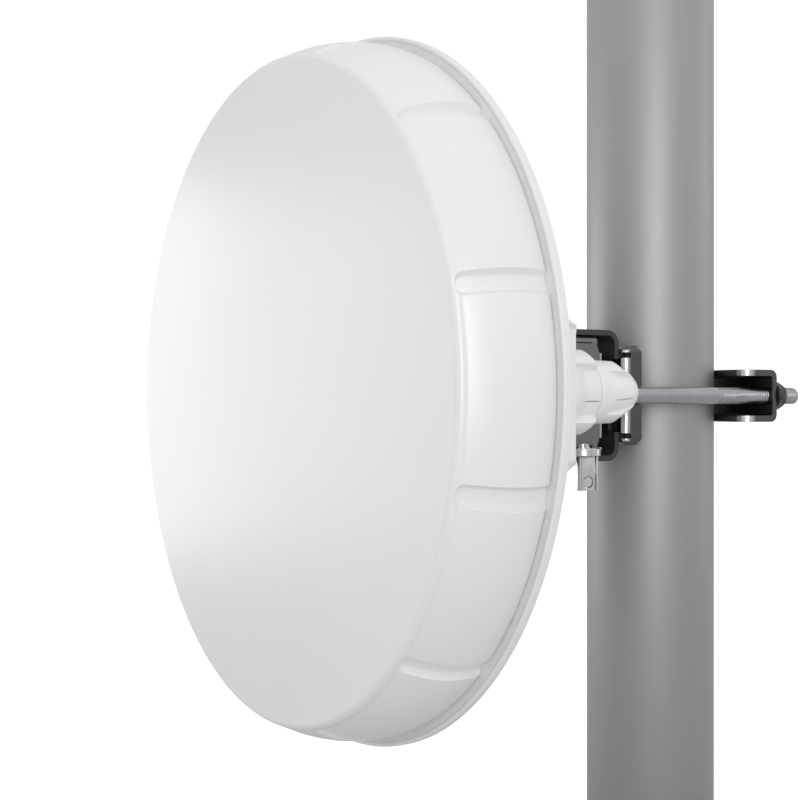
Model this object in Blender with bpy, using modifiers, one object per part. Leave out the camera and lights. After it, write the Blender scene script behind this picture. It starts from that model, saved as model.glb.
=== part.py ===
"""A radome-covered dish antenna on its alignment bracket, clamped to a length of round steel pole.

The pole's axis is the world Z axis and its foot stands at z = 0. The dish faces -Y, and +X is the
side of the cable gland. All lengths are in metres.
"""
import math

import bmesh
import bpy
from mathutils import Matrix, Vector

# Driving dimensions: pole and pole clamp
TOUCH = 0.0003            # gap that touching pieces keep
POLE_RADIUS = 0.03805     # standard 76.1 mm tube
POLE_WALL = 0.0032
POLE_LENGTH = 0.540
POLE_FOOT = 0.006         # closed foot of the pole
BRACKET_Z = 0.2725        # height of the bracket's and the long bolts' centre line
SHEET = 0.0032            # bracket steel
CLAMP_SHEET = 0.0038
BOLT_RADIUS = 0.0049      # M10
BOLT_X = 0.0440           # a long bolt passes this far beside the pole's axis
BOLT_TIP_Y = 0.0765
CLAMP_BACK_Y = 0.0538     # outer face of the back clamp's web
CLAMP_EDGE_Y = 0.0281     # front edge of its two flanges
CLAMP_HALF_LENGTH = 0.0520
CLAMP_HALF_HEIGHT = 0.0155
CLAMP_CORNER = 0.0080
VEE_APEX = POLE_RADIUS / math.cos(math.radians(30.0))   # a 120 degree V notch that fits the pole
SADDLE_FRONT_Y = -0.0594
SADDLE_END_Y = -0.0467
SADDLE_HALF_WIDTH = 0.0455
SADDLE_HALF_HEIGHT = 0.0280
SADDLE_TIP_X = 0.0260
SADDLE_CORNER = 0.0045    # rounding of the rear corners of its two side walls

# Driving dimensions: yoke, inner bracket and elevation adjuster
YOKE_BACK_Y = -0.0597
YOKE_FRONT_Y = -0.1120
YOKE_HALF_WIDTH = 0.0410
YOKE_HALF_HEIGHT = 0.0366
YOKE_BEND = 0.0075        # outer radius of the yoke's two bends
WAIST_X = 0.0353          # the yoke's web is cut back to here beside the bolt heads
WAIST_HALF = 0.0204       # half the height of that cut
INNER_SHEET = 0.0025
INNER_BACK_Y = -0.0703
INNER_FRONT_Y = -0.1200
TIE_LEVEL = 0.0120        # the two tie bolts stand this far above and below the centre line
TIE_RADIUS = 0.0040
TIE_HEAD_RADIUS = 0.0070
PIVOT_Y = -0.1080         # elevation pivot
PIVOT_RADIUS = 0.0040
ADJUSTER_X = 0.0446
ADJUSTER_Y = -0.0888
DISC_RADIUS = 0.0099
DISC_HEIGHT = 0.0042
STUD_RADIUS = 0.0024
CLEVIS_HALF_WIDTH = 0.0065
CLEVIS_FACE_X = 0.0500
CLEVIS_DROP = 0.0186      # how far it hangs below the top of the yoke's lower flange
CLEVIS_SHEET = 0.0011
CLEVIS_LIP = 0.0012       # its two side lips stand this far out of its face
PIN_RISE = 0.0047         # its pin sits this far above its lower end

# Driving dimensions: dish, radome, rear housing and cable gland
DISH_Z = 0.2742
RIM_Y = -0.2080           # plane of the reflector's rear rim
RIM_RADIUS = 0.1840
RIM_DEPTH = 0.0042
RIM_LAND = 0.0030         # flat ring of the rim that the radome's skirt stands on
BOWL_RADIUS = 0.1742
BOWL_DEPTH = 0.0550
BOWL_WALL = 0.0020
SKIRT_REAR = 0.0033       # distances in front of the rim plane
SKIRT_FRONT = 0.0490
SKIRT_REAR_RADIUS = 0.1780
SKIRT_FRONT_RADIUS = 0.1709
SKIRT_BULGE = 0.0042
FACE_CORNER = 0.0040
FACE_CROWN = 0.0100
RADOME_WALL = 0.0025
RECESS_COUNT = 12
RECESS_HALF_WIDTH = 0.0055
RECESS_DEPTH = 0.0035
RECESS_TIP = 0.0462
HOUSING_BACK_Y = -0.1358
HOUSING_HALF_WIDTH = 0.0975
HOUSING_HALF_HEIGHT = 0.0390
HOUSING_CHAMFER = 0.0064
LUG_HALF_WIDTH = 0.0360
LUG_RADIUS = 0.0120
GLAND_X = 0.0720
GLAND_BASE_RADIUS = 0.0226
GLAND_BASE_END = -0.1125
GLAND_CAP_RADIUS = 0.0173
GLAND_STEP_END = -0.0952
GLAND_TIP_Y = -0.0785
CABLE_RADIUS = 0.0035

TURN = 72                 # segments of the large turned pieces
RIGHT = math.pi / 2.0

for old in list(bpy.data.objects):
    bpy.data.objects.remove(old, do_unlink=True)


def new_collection(name):
    group = bpy.data.collections.new(name)
    bpy.context.scene.collection.children.link(group)
    return group


PARTS = new_collection("dish_antenna")
CUTTERS = new_collection("cutters")


def material(name, colour, roughness, metallic):
    made = bpy.data.materials.new(name)
    made.use_nodes = True
    shader = made.node_tree.nodes["Principled BSDF"]
    shader.inputs["Base Color"].default_value = (*colour, 1.0)
    shader.inputs["Roughness"].default_value = roughness
    shader.inputs["Metallic"].default_value = metallic
    return made


WHITE_PLASTIC = material("white_plastic", (0.86, 0.86, 0.84), 0.35, 0.0)
WHITE_PAINT = material("white_paint", (0.82, 0.82, 0.80), 0.40, 0.0)
GALVANIZED = material("galvanized_pole", (0.42, 0.42, 0.43), 0.40, 0.9)
DARK_STEEL = material("dark_steel", (0.10, 0.10, 0.11), 0.45, 0.8)
GREY_STEEL = material("grey_steel", (0.28, 0.27, 0.30), 0.40, 0.8)
BRONZE_STEEL = material("bronze_steel", (0.20, 0.19, 0.17), 0.35, 0.9)
BRIGHT_STEEL = material("bright_steel", (0.55, 0.55, 0.58), 0.30, 1.0)
BLACK_RUBBER = material("black_rubber", (0.02, 0.02, 0.02), 0.60, 0.0)


def put(bm, name, finish, group=PARTS, smooth=35.0):
    """Make an object of a bmesh, with outward normals and smooth shading on round parts."""
    bmesh.ops.recalc_face_normals(bm, faces=bm.faces)
    mesh = bpy.data.meshes.new(name)
    bm.to_mesh(mesh)
    bm.free()
    mesh.shade_smooth()
    mesh.set_sharp_from_angle(angle=math.radians(smooth))
    made = bpy.data.objects.new(name, mesh)
    group.objects.link(made)
    if group is CUTTERS:
        made.hide_render = True
        made.display_type = "WIRE"
    else:
        mesh.materials.append(finish)
    return made


def box(low, high):
    """A bmesh box between two corners."""
    bm = bmesh.new()
    bmesh.ops.create_cube(bm, size=1.0)
    size = Vector(high) - Vector(low)
    bmesh.ops.scale(bm, vec=size, verts=bm.verts)
    bmesh.ops.translate(bm, vec=Vector(low) + size / 2.0, verts=bm.verts)
    return bm


def rod(start, end, radius, end_radius=None, sides=24):
    """A bmesh cylinder or cone between two points."""
    bm = bmesh.new()
    start, end = Vector(start), Vector(end)
    along = end - start
    bmesh.ops.create_cone(bm, cap_ends=True, segments=sides, radius1=radius,
                          radius2=radius if end_radius is None else end_radius, depth=along.length)
    turn = along.to_track_quat("Z", "Y").to_matrix().to_4x4()
    bmesh.ops.transform(bm, matrix=Matrix.Translation((start + end) / 2.0) @ turn, verts=bm.verts)
    return bm


def slab(outline, axis, low, high):
    """A prism of a flat outline: axis 'X' takes (y, z), 'Y' takes (x, z), 'Z' takes (x, y) points."""
    bm = bmesh.new()
    if axis == "X":
        points = [(low, first, second) for first, second in outline]
        step = (high - low, 0.0, 0.0)
    elif axis == "Y":
        points = [(first, low, second) for first, second in outline]
        step = (0.0, high - low, 0.0)
    else:
        points = [(first, second, low) for first, second in outline]
        step = (0.0, 0.0, high - low)
    face = bm.faces.new([bm.verts.new(point) for point in points])
    grown = bmesh.ops.extrude_face_region(bm, geom=[face])
    moved = [item for item in grown["geom"] if isinstance(item, bmesh.types.BMVert)]
    bmesh.ops.translate(bm, vec=step, verts=moved)
    return bm


def boolean(target, tool, operation):
    """Add a Boolean that reads the given cutter; the cutter moves to the cutters' collection."""
    step = target.modifiers.new(operation.lower(), "BOOLEAN")
    step.operation = operation
    step.solver = "EXACT"
    step.object = tool
    return target


def cutter(bm, name):
    return put(bm, name, None, CUTTERS)


def cut(target, bm, name):
    return boolean(target, cutter(bm, name), "DIFFERENCE")


def join(target, bm, name):
    return boolean(target, cutter(bm, name), "UNION")


def turned(name, profile, finish, centre, group=PARTS, steps=TURN, smooth=30.0):
    """Turn a profile of (radius, forward) points about a line through centre that runs along -Y.

    The profile runs from front to back on its outer side. It starts and ends on the axis, or it
    is closed into a ring.
    """
    mesh = bpy.data.meshes.new(name)
    count = len(profile)
    edges = [(i, i + 1) for i in range(count - 1)]
    if profile[0][0] > 0.0:
        edges.append((count - 1, 0))
    mesh.from_pydata([(radius, 0.0, forward) for radius, forward in profile], edges, [])
    made = bpy.data.objects.new(name, mesh)
    group.objects.link(made)
    made.location = centre
    made.rotation_euler = (RIGHT, 0.0, 0.0)
    screw = made.modifiers.new("turn", "SCREW")
    screw.axis = "Z"
    screw.steps = steps
    screw.render_steps = steps
    screw.use_merge_vertices = True
    screw.merge_threshold = 0.00001
    screw.use_smooth_shade = True
    if group is CUTTERS:
        made.hide_render = True
        made.display_type = "WIRE"
    else:
        mesh.materials.append(finish)
    return made


def arc(centre, radius, start, end, count):
    """Points of an arc, angles in degrees from the first axis towards the second."""
    points = []
    for i in range(count + 1):
        angle = math.radians(start + (end - start) * i / count)
        points.append((centre[0] + radius * math.cos(angle), centre[1] + radius * math.sin(angle)))
    return points


def hexagon(start, end, across_flats):
    return rod(start, end, across_flats / math.sqrt(3.0), sides=6)


def add(bm, other):
    """Append one bmesh to another; the two don't touch."""
    scratch = bpy.data.meshes.new("scratch")
    other.to_mesh(scratch)
    other.free()
    bm.from_mesh(scratch)
    bpy.data.meshes.remove(scratch)
    return bm


# Pole
def make_pole():
    pole = put(rod((0, 0, 0), (0, 0, POLE_LENGTH), POLE_RADIUS, sides=64), "pole", GALVANIZED)
    cut(pole, rod((0, 0, POLE_FOOT), (0, 0, POLE_LENGTH + 0.01), POLE_RADIUS - POLE_WALL, sides=64),
        "pole_bore")
    cap = put(rod((0, 0, POLE_LENGTH + TOUCH), (0, 0, POLE_LENGTH + 0.0040), POLE_RADIUS, sides=64),
              "pole_cap", BLACK_RUBBER)
    join(cap, rod((0, 0, POLE_LENGTH - 0.015), (0, 0, POLE_LENGTH + 0.002),
                  POLE_RADIUS - POLE_WALL - TOUCH, sides=64), "pole_cap_plug")


def vee_depths(tip_x):
    """Distances from the pole's axis to the tips and to the apex of a V notch that fits the pole."""
    apex = VEE_APEX + TOUCH * 1.2
    return apex - math.tan(math.radians(30.0)) * tip_x, apex


# Pole clamp
def make_saddle():
    low = BRACKET_Z - SADDLE_HALF_HEIGHT
    high = BRACKET_Z + SADDLE_HALF_HEIGHT
    saddle = put(box((-SADDLE_HALF_WIDTH, SADDLE_FRONT_Y, low), (SADDLE_HALF_WIDTH, -0.0250, high)),
                 "pole_saddle", BRONZE_STEEL)
    round_edges = saddle.modifiers.new("bends", "BEVEL")
    round_edges.width = 0.0045
    round_edges.segments = 3
    round_edges.limit_method = "ANGLE"
    round_edges.angle_limit = math.radians(60.0)
    inner = SADDLE_HALF_WIDTH - SHEET
    cut(saddle, box((-inner, SADDLE_FRONT_Y + SHEET, low + SHEET), (inner, 0.0, high - SHEET)),
        "saddle_hollow")
    tip_x = SADDLE_TIP_X
    tip_y, apex_y = (-depth for depth in vee_depths(tip_x))
    outline = [(-0.06, SADDLE_END_Y), (-SADDLE_HALF_WIDTH + SHEET, SADDLE_END_Y), (-tip_x, tip_y),
               (0.0, apex_y), (tip_x, tip_y), (SADDLE_HALF_WIDTH - SHEET, SADDLE_END_Y),
               (0.06, SADDLE_END_Y), (0.06, 0.02), (-0.06, 0.02)]
    cut(saddle, slab(outline, "Z", low - 0.01, high + 0.01), "saddle_vee")
    corner = SADDLE_CORNER
    bottom = arc((SADDLE_END_Y - corner, low + corner), corner, -90.0, 0.0, 6)
    bottom = [(SADDLE_END_Y - corner, low - 0.01), *bottom, (0.0, low + corner), (0.0, low - 0.01)]
    top = [(y, 2.0 * BRACKET_Z - z) for y, z in bottom]
    for side in (-1.0, 1.0):
        near, far = sorted((side * (SADDLE_HALF_WIDTH - SHEET), side * 0.060))
        word = "near" if side > 0 else "far"
        cut(saddle, slab(top, "X", near, far), "saddle_corner_top_" + word)
        cut(saddle, slab(bottom, "X", near, far), "saddle_corner_bottom_" + word)
        hole = BOLT_RADIUS + TOUCH
        near, far = sorted((side * (BOLT_X - hole), side * 0.060))
        cut(saddle, box((near, SADDLE_FRONT_Y - 0.01, BRACKET_Z - hole), (far, 0.0, BRACKET_Z + hole)),
            "saddle_bolt_slot_" + word)
        near, far = sorted((side * (SADDLE_HALF_WIDTH - 0.0060), side * 0.060))
        for level, place in ((0.0212, "upper"), (-0.0246, "lower")):
            cut(saddle, box((near, SADDLE_FRONT_Y - 0.01, BRACKET_Z + level),
                            (far, SADDLE_FRONT_Y + 0.0046, BRACKET_Z + level + 0.0034)),
                "saddle_relief_" + place + "_" + word)


def make_back_clamp():
    low = BRACKET_Z - CLAMP_HALF_HEIGHT
    high = BRACKET_Z + CLAMP_HALF_HEIGHT
    back = CLAMP_BACK_Y
    clamp = put(box((-CLAMP_HALF_LENGTH, 0.0, low), (CLAMP_HALF_LENGTH, back, high)),
                "back_clamp", BRONZE_STEEL)
    cut(clamp, box((-0.07, -0.01, low + CLAMP_SHEET), (0.07, back - CLAMP_SHEET, high - CLAMP_SHEET)),
        "clamp_channel")
    tip_x = (VEE_APEX + TOUCH * 1.2 - CLAMP_EDGE_Y) / math.tan(math.radians(30.0))
    tip_y, apex_y = vee_depths(tip_x)
    corner = CLAMP_CORNER
    right = arc((CLAMP_HALF_LENGTH - corner, CLAMP_EDGE_Y + corner), corner, -90.0, 0.0, 6)
    left = [(-x, y) for x, y in reversed(right)]
    outline = [(-0.07, CLAMP_EDGE_Y + corner), *left, (-tip_x, tip_y), (0.0, apex_y),
               (tip_x, tip_y), *right, (0.07, CLAMP_EDGE_Y + corner),
               (0.07, -0.02), (-0.07, -0.02)]
    cut(clamp, slab(outline, "Z", low - 0.01, high + 0.01), "clamp_vee")
    for side in (-1.0, 1.0):
        word = "near" if side > 0 else "far"
        cut(clamp, rod((side * BOLT_X, back - 0.02, BRACKET_Z), (side * BOLT_X, back + 0.01, BRACKET_Z),
                       BOLT_RADIUS + TOUCH), "clamp_hole_" + word)


def make_long_bolts():
    head_y = SADDLE_FRONT_Y - TOUCH
    for side, word in ((1.0, "near"), (-1.0, "far")):
        x = side * BOLT_X
        bolt = put(rod((x, head_y - 0.003, BRACKET_Z), (x, BOLT_TIP_Y, BRACKET_Z), BOLT_RADIUS),
                   "long_bolt_" + word, BRIGHT_STEEL)
        join(bolt, hexagon((x, head_y - 0.0064, BRACKET_Z), (x, head_y, BRACKET_Z), 0.0135),
             "bolt_head_" + word)
        nut_y = CLAMP_BACK_Y + TOUCH
        nut = put(rod((x, nut_y, BRACKET_Z), (x, nut_y + 0.0025, BRACKET_Z), 0.0100, 0.0092),
                  "flange_nut_" + word, DARK_STEEL)
        join(nut, hexagon((x, nut_y + 0.001, BRACKET_Z), (x, nut_y + 0.0086, BRACKET_Z), 0.0150),
             "nut_hex_" + word)
        cut(nut, rod((x, nut_y - 0.01, BRACKET_Z), (x, nut_y + 0.02, BRACKET_Z), BOLT_RADIUS + TOUCH),
            "nut_bore_" + word)


# Yoke and inner bracket
def make_yoke():
    half = YOKE_HALF_HEIGHT
    inner_bend = YOKE_BEND - SHEET
    outer = [(YOKE_FRONT_Y, half)]
    outer += [(y, z) for z, y in arc((half - YOKE_BEND, YOKE_BACK_Y - YOKE_BEND), YOKE_BEND, 0.0, 90.0, 6)]
    mirrored = [(y, -z) for y, z in reversed(outer)]
    centre = (half - YOKE_BEND, YOKE_BACK_Y - YOKE_BEND)
    inner = [(YOKE_FRONT_Y, half - SHEET)] + [(y, z) for z, y in arc(centre, inner_bend, 0.0, 90.0, 6)]
    inner = [(y, -z) for y, z in inner] + list(reversed(inner))
    outline = [(y, BRACKET_Z + z) for y, z in outer + mirrored + inner]
    yoke = put(slab(outline, "X", -YOKE_HALF_WIDTH, YOKE_HALF_WIDTH), "outer_yoke", DARK_STEEL)
    front = YOKE_BACK_Y - SHEET
    corner = 0.0020
    waist = [(0.06, WAIST_HALF)]
    waist += arc((WAIST_X + corner, WAIST_HALF - corner), corner, 90.0, 180.0, 4)
    waist += arc((WAIST_X + corner, corner - WAIST_HALF), corner, 180.0, 270.0, 4)
    waist += [(0.06, -WAIST_HALF)]
    for side, word in ((1.0, "near"), (-1.0, "far")):
        outline = [(side * x, BRACKET_Z + z) for x, z in waist]
        cut(yoke, slab(outline, "Y", front - 0.002, YOKE_BACK_Y + 0.002), "yoke_waist_" + word)
    floor = BRACKET_Z - half
    tab = CLEVIS_HALF_WIDTH - 0.0012
    tab_end = CLEVIS_FACE_X - CLEVIS_LIP - CLEVIS_SHEET - TOUCH
    join(yoke, box((YOKE_HALF_WIDTH - 0.004, ADJUSTER_Y - tab, floor),
                   (tab_end, ADJUSTER_Y + tab, floor + SHEET)), "yoke_tab")
    cut(yoke, rod((ADJUSTER_X, ADJUSTER_Y, floor - 0.01), (ADJUSTER_X, ADJUSTER_Y, floor + 0.01),
                  STUD_RADIUS + TOUCH, sides=16), "yoke_tab_hole")
    for level, word in ((TIE_LEVEL, "upper"), (-TIE_LEVEL, "lower")):
        z = BRACKET_Z + level
        cut(yoke, rod((0, front - 0.01, z), (0, front + 0.01, z), TIE_RADIUS + TOUCH, sides=16),
            "yoke_tie_hole_" + word)


def make_inner_bracket():
    half = YOKE_HALF_HEIGHT - SHEET - TOUCH
    wide = YOKE_HALF_WIDTH
    outline_low, outline_high = BRACKET_Z - half, BRACKET_Z + half
    bracket = put(box((-wide, INNER_FRONT_Y, outline_low), (wide, INNER_BACK_Y, outline_high)),
                  "inner_bracket", GREY_STEEL)
    bends = bracket.modifiers.new("bends", "BEVEL")
    bends.width = 0.0035
    bends.segments = 3
    bends.limit_method = "ANGLE"
    bends.angle_limit = math.radians(60.0)
    sheet = INNER_SHEET
    cut(bracket, box((-wide + sheet, INNER_FRONT_Y - 0.01, outline_low + sheet),
                     (wide - sheet, INNER_BACK_Y - sheet, outline_high - sheet)), "inner_hollow")
    cut(bracket, box((-0.07, INNER_FRONT_Y - 0.01, outline_high - 0.0040),
                     (0.07, YOKE_FRONT_Y + 0.004, outline_high + 0.01)), "inner_front_top")
    cut(bracket, box((-0.07, INNER_FRONT_Y - 0.01, outline_low - 0.01),
                     (0.07, YOKE_FRONT_Y + 0.004, outline_low + 0.0040)), "inner_front_bottom")
    for sign, word, end in ((1.0, "top", 0.0050), (-1.0, "bottom", 0.0008)):
        edge = BRACKET_Z + sign * half
        corner = []
        for back, down in ((end, -0.01), (end, 0.0042), (0.0055, 0.0045), (0.0035, 0.0095),
                           (-0.01, 0.0095), (-0.01, -0.01)):
            corner.append((INNER_BACK_Y - back, edge - sign * down))
        cut(bracket, slab(corner, "X", -0.07, 0.07), "inner_corner_" + word)
    for side, word in ((1.0, "near"), (-1.0, "far")):
        inside, outside = sorted((side * (wide - 0.012), side * (wide + 0.01)))
        cut(bracket, rod((inside, PIVOT_Y, BRACKET_Z), (outside, PIVOT_Y, BRACKET_Z),
                         PIVOT_RADIUS + TOUCH), "inner_pivot_hole_" + word)
    low = BRACKET_Z - YOKE_HALF_HEIGHT + SHEET
    top = low + DISC_HEIGHT + 0.002
    cut(bracket, rod((ADJUSTER_X, ADJUSTER_Y, low - 0.01), (ADJUSTER_X, ADJUSTER_Y, top),
                     DISC_RADIUS + 0.0008, sides=32), "inner_disc_notch")
    for level, word in ((TIE_LEVEL, "upper"), (-TIE_LEVEL, "lower")):
        z = BRACKET_Z + level
        cut(bracket, rod((0, INNER_BACK_Y - 0.01, z), (0, INNER_BACK_Y + 0.01, z), TIE_RADIUS + TOUCH,
                         sides=16), "inner_tie_hole_" + word)


def make_bracket_fasteners():
    """Two spacer bolts tie the saddle, the yoke and the inner bracket together."""
    front = INNER_BACK_Y - INNER_SHEET
    for level, word in ((TIE_LEVEL, "upper"), (-TIE_LEVEL, "lower")):
        z = BRACKET_Z + level
        bolt = put(rod((0, front - 0.004, z), (0, SADDLE_FRONT_Y - TOUCH, z), TIE_RADIUS, sides=16),
                   "tie_bolt_" + word, BRIGHT_STEEL)
        join(bolt, rod((0, front - 0.0045, z), (0, front - TOUCH, z), TIE_HEAD_RADIUS, sides=16),
             "tie_head_" + word)
        spacer_end = YOKE_BACK_Y - SHEET - TOUCH
        join(bolt, rod((0, INNER_BACK_Y + TOUCH, z), (0, spacer_end, z), TIE_HEAD_RADIUS, sides=16),
             "tie_spacer_" + word)
    side = YOKE_HALF_WIDTH
    bolt = put(rod((side + 0.002, PIVOT_Y, BRACKET_Z), (-side - 0.0090, PIVOT_Y, BRACKET_Z), PIVOT_RADIUS),
               "elevation_bolt", BRIGHT_STEEL)
    join(bolt, hexagon((side + 0.0033, PIVOT_Y, BRACKET_Z), (side + TOUCH, PIVOT_Y, BRACKET_Z), 0.013),
         "elevation_head")
    nut = put(hexagon((-side - TOUCH, PIVOT_Y, BRACKET_Z), (-side - 0.0068, PIVOT_Y, BRACKET_Z), 0.013),
              "elevation_nut", BRIGHT_STEEL)
    cut(nut, rod((-side + 0.01, PIVOT_Y, BRACKET_Z), (-side - 0.02, PIVOT_Y, BRACKET_Z),
                 PIVOT_RADIUS + TOUCH), "elevation_nut_bore")


def make_adjuster():
    tab_top = BRACKET_Z - YOKE_HALF_HEIGHT + SHEET
    tab_low = BRACKET_Z - YOKE_HALF_HEIGHT
    disc_low = tab_top + TOUCH
    disc = put(rod((ADJUSTER_X, ADJUSTER_Y, disc_low), (ADJUSTER_X, ADJUSTER_Y, disc_low + DISC_HEIGHT),
                   DISC_RADIUS, sides=36), "adjuster_disc", BRIGHT_STEEL)
    cut(disc, rod((ADJUSTER_X, ADJUSTER_Y, disc_low - 0.01), (ADJUSTER_X, ADJUSTER_Y, disc_low + 0.02),
                  STUD_RADIUS + TOUCH, sides=16), "disc_bore")
    stud_top = disc_low + DISC_HEIGHT + 0.001
    stud = put(rod((ADJUSTER_X, ADJUSTER_Y, tab_low - 0.0040), (ADJUSTER_X, ADJUSTER_Y, stud_top),
                   STUD_RADIUS, sides=16), "adjuster_stud", BRIGHT_STEEL)
    join(stud, hexagon((ADJUSTER_X, ADJUSTER_Y, tab_low - 0.0030),
                       (ADJUSTER_X, ADJUSTER_Y, tab_low - TOUCH), 0.0056), "stud_lock_nut")
    face = CLEVIS_FACE_X
    web = face - CLEVIS_LIP
    wide = CLEVIS_HALF_WIDTH
    foot = tab_top - CLEVIS_DROP
    pin_z = foot + PIN_RISE
    clevis = put(box((web - CLEVIS_SHEET, ADJUSTER_Y - wide, foot),
                     (face, ADJUSTER_Y + wide, tab_top)), "adjuster_clevis", BRIGHT_STEEL)
    lip = 0.0010
    cut(clevis, box((web, ADJUSTER_Y - wide + lip, foot - 0.01),
                    (face + 0.01, ADJUSTER_Y + wide - lip, tab_top + 0.01)), "clevis_channel")
    cut(clevis, rod((web - 0.01, ADJUSTER_Y, pin_z), (face + 0.01, ADJUSTER_Y, pin_z), 0.0030 + TOUCH,
                    sides=24), "clevis_hole")
    put(rod((web - CLEVIS_SHEET - 0.0006, ADJUSTER_Y, pin_z), (web + 0.0006, ADJUSTER_Y, pin_z),
            0.0030, sides=24), "adjuster_pin", BRIGHT_STEEL)


# Dish
def skirt_radius(forward):
    """Outer radius of the radome's convex skirt at a distance in front of the rim plane."""
    share = (forward - SKIRT_REAR) / (SKIRT_FRONT - FACE_CORNER - SKIRT_REAR)
    share = min(max(share, 0.0), 1.0)
    straight = SKIRT_REAR_RADIUS + (SKIRT_FRONT_RADIUS - SKIRT_REAR_RADIUS) * share
    return straight + SKIRT_BULGE * 4.0 * share * (1.0 - share)


def radome_outside(offset):
    """Profile of the radome's outer surface, moved inwards by an offset, from crown to skirt end."""
    corner = FACE_CORNER - offset if FACE_CORNER > offset else 0.0005
    centre = (SKIRT_FRONT_RADIUS - FACE_CORNER, SKIRT_FRONT - FACE_CORNER)
    face_rings = 8
    profile = []
    for i in range(face_rings):
        radius = centre[0] * i / face_rings
        profile.append((radius, SKIRT_FRONT - offset + FACE_CROWN * (1.0 - (i / face_rings) ** 2)))
    profile += arc(centre, corner, 90.0, 0.0, 4)
    rings = 7
    for i in range(1, rings + 1):
        forward = centre[1] + (SKIRT_REAR - centre[1]) * i / rings
        profile.append((skirt_radius(forward) - offset, forward))
    return profile


def recess_cutters(name, grow):
    """The twelve long recesses of the skirt as one set of round-ended slots."""
    whole = bmesh.new()
    half = RECESS_HALF_WIDTH + grow
    tip = RECESS_TIP + grow
    outline = [(half, SKIRT_REAR - 0.010)] + arc((0.0, tip - half), half, 0.0, 180.0, 8)
    outline += [(-half, SKIRT_REAR - 0.010)]
    for i in range(RECESS_COUNT):
        angle = math.radians(15.0 + 30.0 * i)
        slot = slab(outline, "Z", 0.0, 0.030)
        floor_rear = skirt_radius(SKIRT_REAR) - RECESS_DEPTH - grow
        floor_front = skirt_radius(tip) - RECESS_DEPTH - grow
        slope = (floor_front - floor_rear) / (tip - SKIRT_REAR)
        for vert in slot.verts:
            vert.co.z += floor_rear + slope * (vert.co.y - SKIRT_REAR)
        # slot x runs across, slot y runs forward, slot z runs outwards
        turn = Matrix(((-math.sin(angle), 0.0, math.cos(angle), 0.0), (0.0, -1.0, 0.0, RIM_Y),
                       (math.cos(angle), 0.0, math.sin(angle), DISH_Z), (0.0, 0.0, 0.0, 1.0)))
        bmesh.ops.transform(slot, matrix=turn, verts=slot.verts)
        bmesh.ops.recalc_face_normals(slot, faces=slot.faces)
        add(whole, slot)
    return cutter(whole, name)


def make_radome():
    centre = (0.0, RIM_Y, DISH_Z)
    outside = radome_outside(0.0) + [(0.0, SKIRT_REAR)]
    radome = turned("radome", outside, WHITE_PLASTIC, centre)
    boolean(radome, recess_cutters("recesses", 0.0), "DIFFERENCE")
    inside = radome_outside(RADOME_WALL)
    inside = inside[:-1] + [(inside[-1][0], SKIRT_REAR - 0.006), (0.0, SKIRT_REAR - 0.006)]
    hollow = turned("radome_hollow", inside, None, centre, CUTTERS)
    boolean(hollow, recess_cutters("recesses_inside", RADOME_WALL), "DIFFERENCE")
    boolean(radome, hollow, "DIFFERENCE")


def bowl_forward(radius):
    """Height of the bowl's front surface at a radius, measured forward from the rim plane."""
    return -BOWL_DEPTH * (1.0 - (radius / BOWL_RADIUS) ** 2)


def bowl_back(clearance):
    """Points of the bowl's rear surface from its edge to the axis."""
    rings = 9
    points = []
    for i in range(rings + 1):
        radius = BOWL_RADIUS * (1.0 - i / rings)
        slope = 2.0 * BOWL_DEPTH * radius / BOWL_RADIUS ** 2
        normal = math.hypot(1.0, slope)
        shift = BOWL_WALL + clearance
        points.append((radius + shift * slope / normal, bowl_forward(radius) - shift / normal))
    points[-1] = (0.0, points[-1][1])
    return points


def make_reflector():
    rings = 9
    front = []
    for i in range(rings + 1):
        radius = BOWL_RADIUS * i / rings
        front.append((radius, bowl_forward(radius) + RIM_LAND * (i == rings)))
    rim = [(RIM_RADIUS - 0.0022, RIM_LAND), (RIM_RADIUS - 0.0016, RIM_DEPTH),
           (RIM_RADIUS - 0.0005, RIM_DEPTH), (RIM_RADIUS, RIM_DEPTH - 0.0008), (RIM_RADIUS, 0.0),
           (BOWL_RADIUS + 0.0040, 0.0)]
    turned("reflector", front + rim + bowl_back(0.0)[1:], WHITE_PAINT, (0.0, RIM_Y, DISH_Z))


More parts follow.
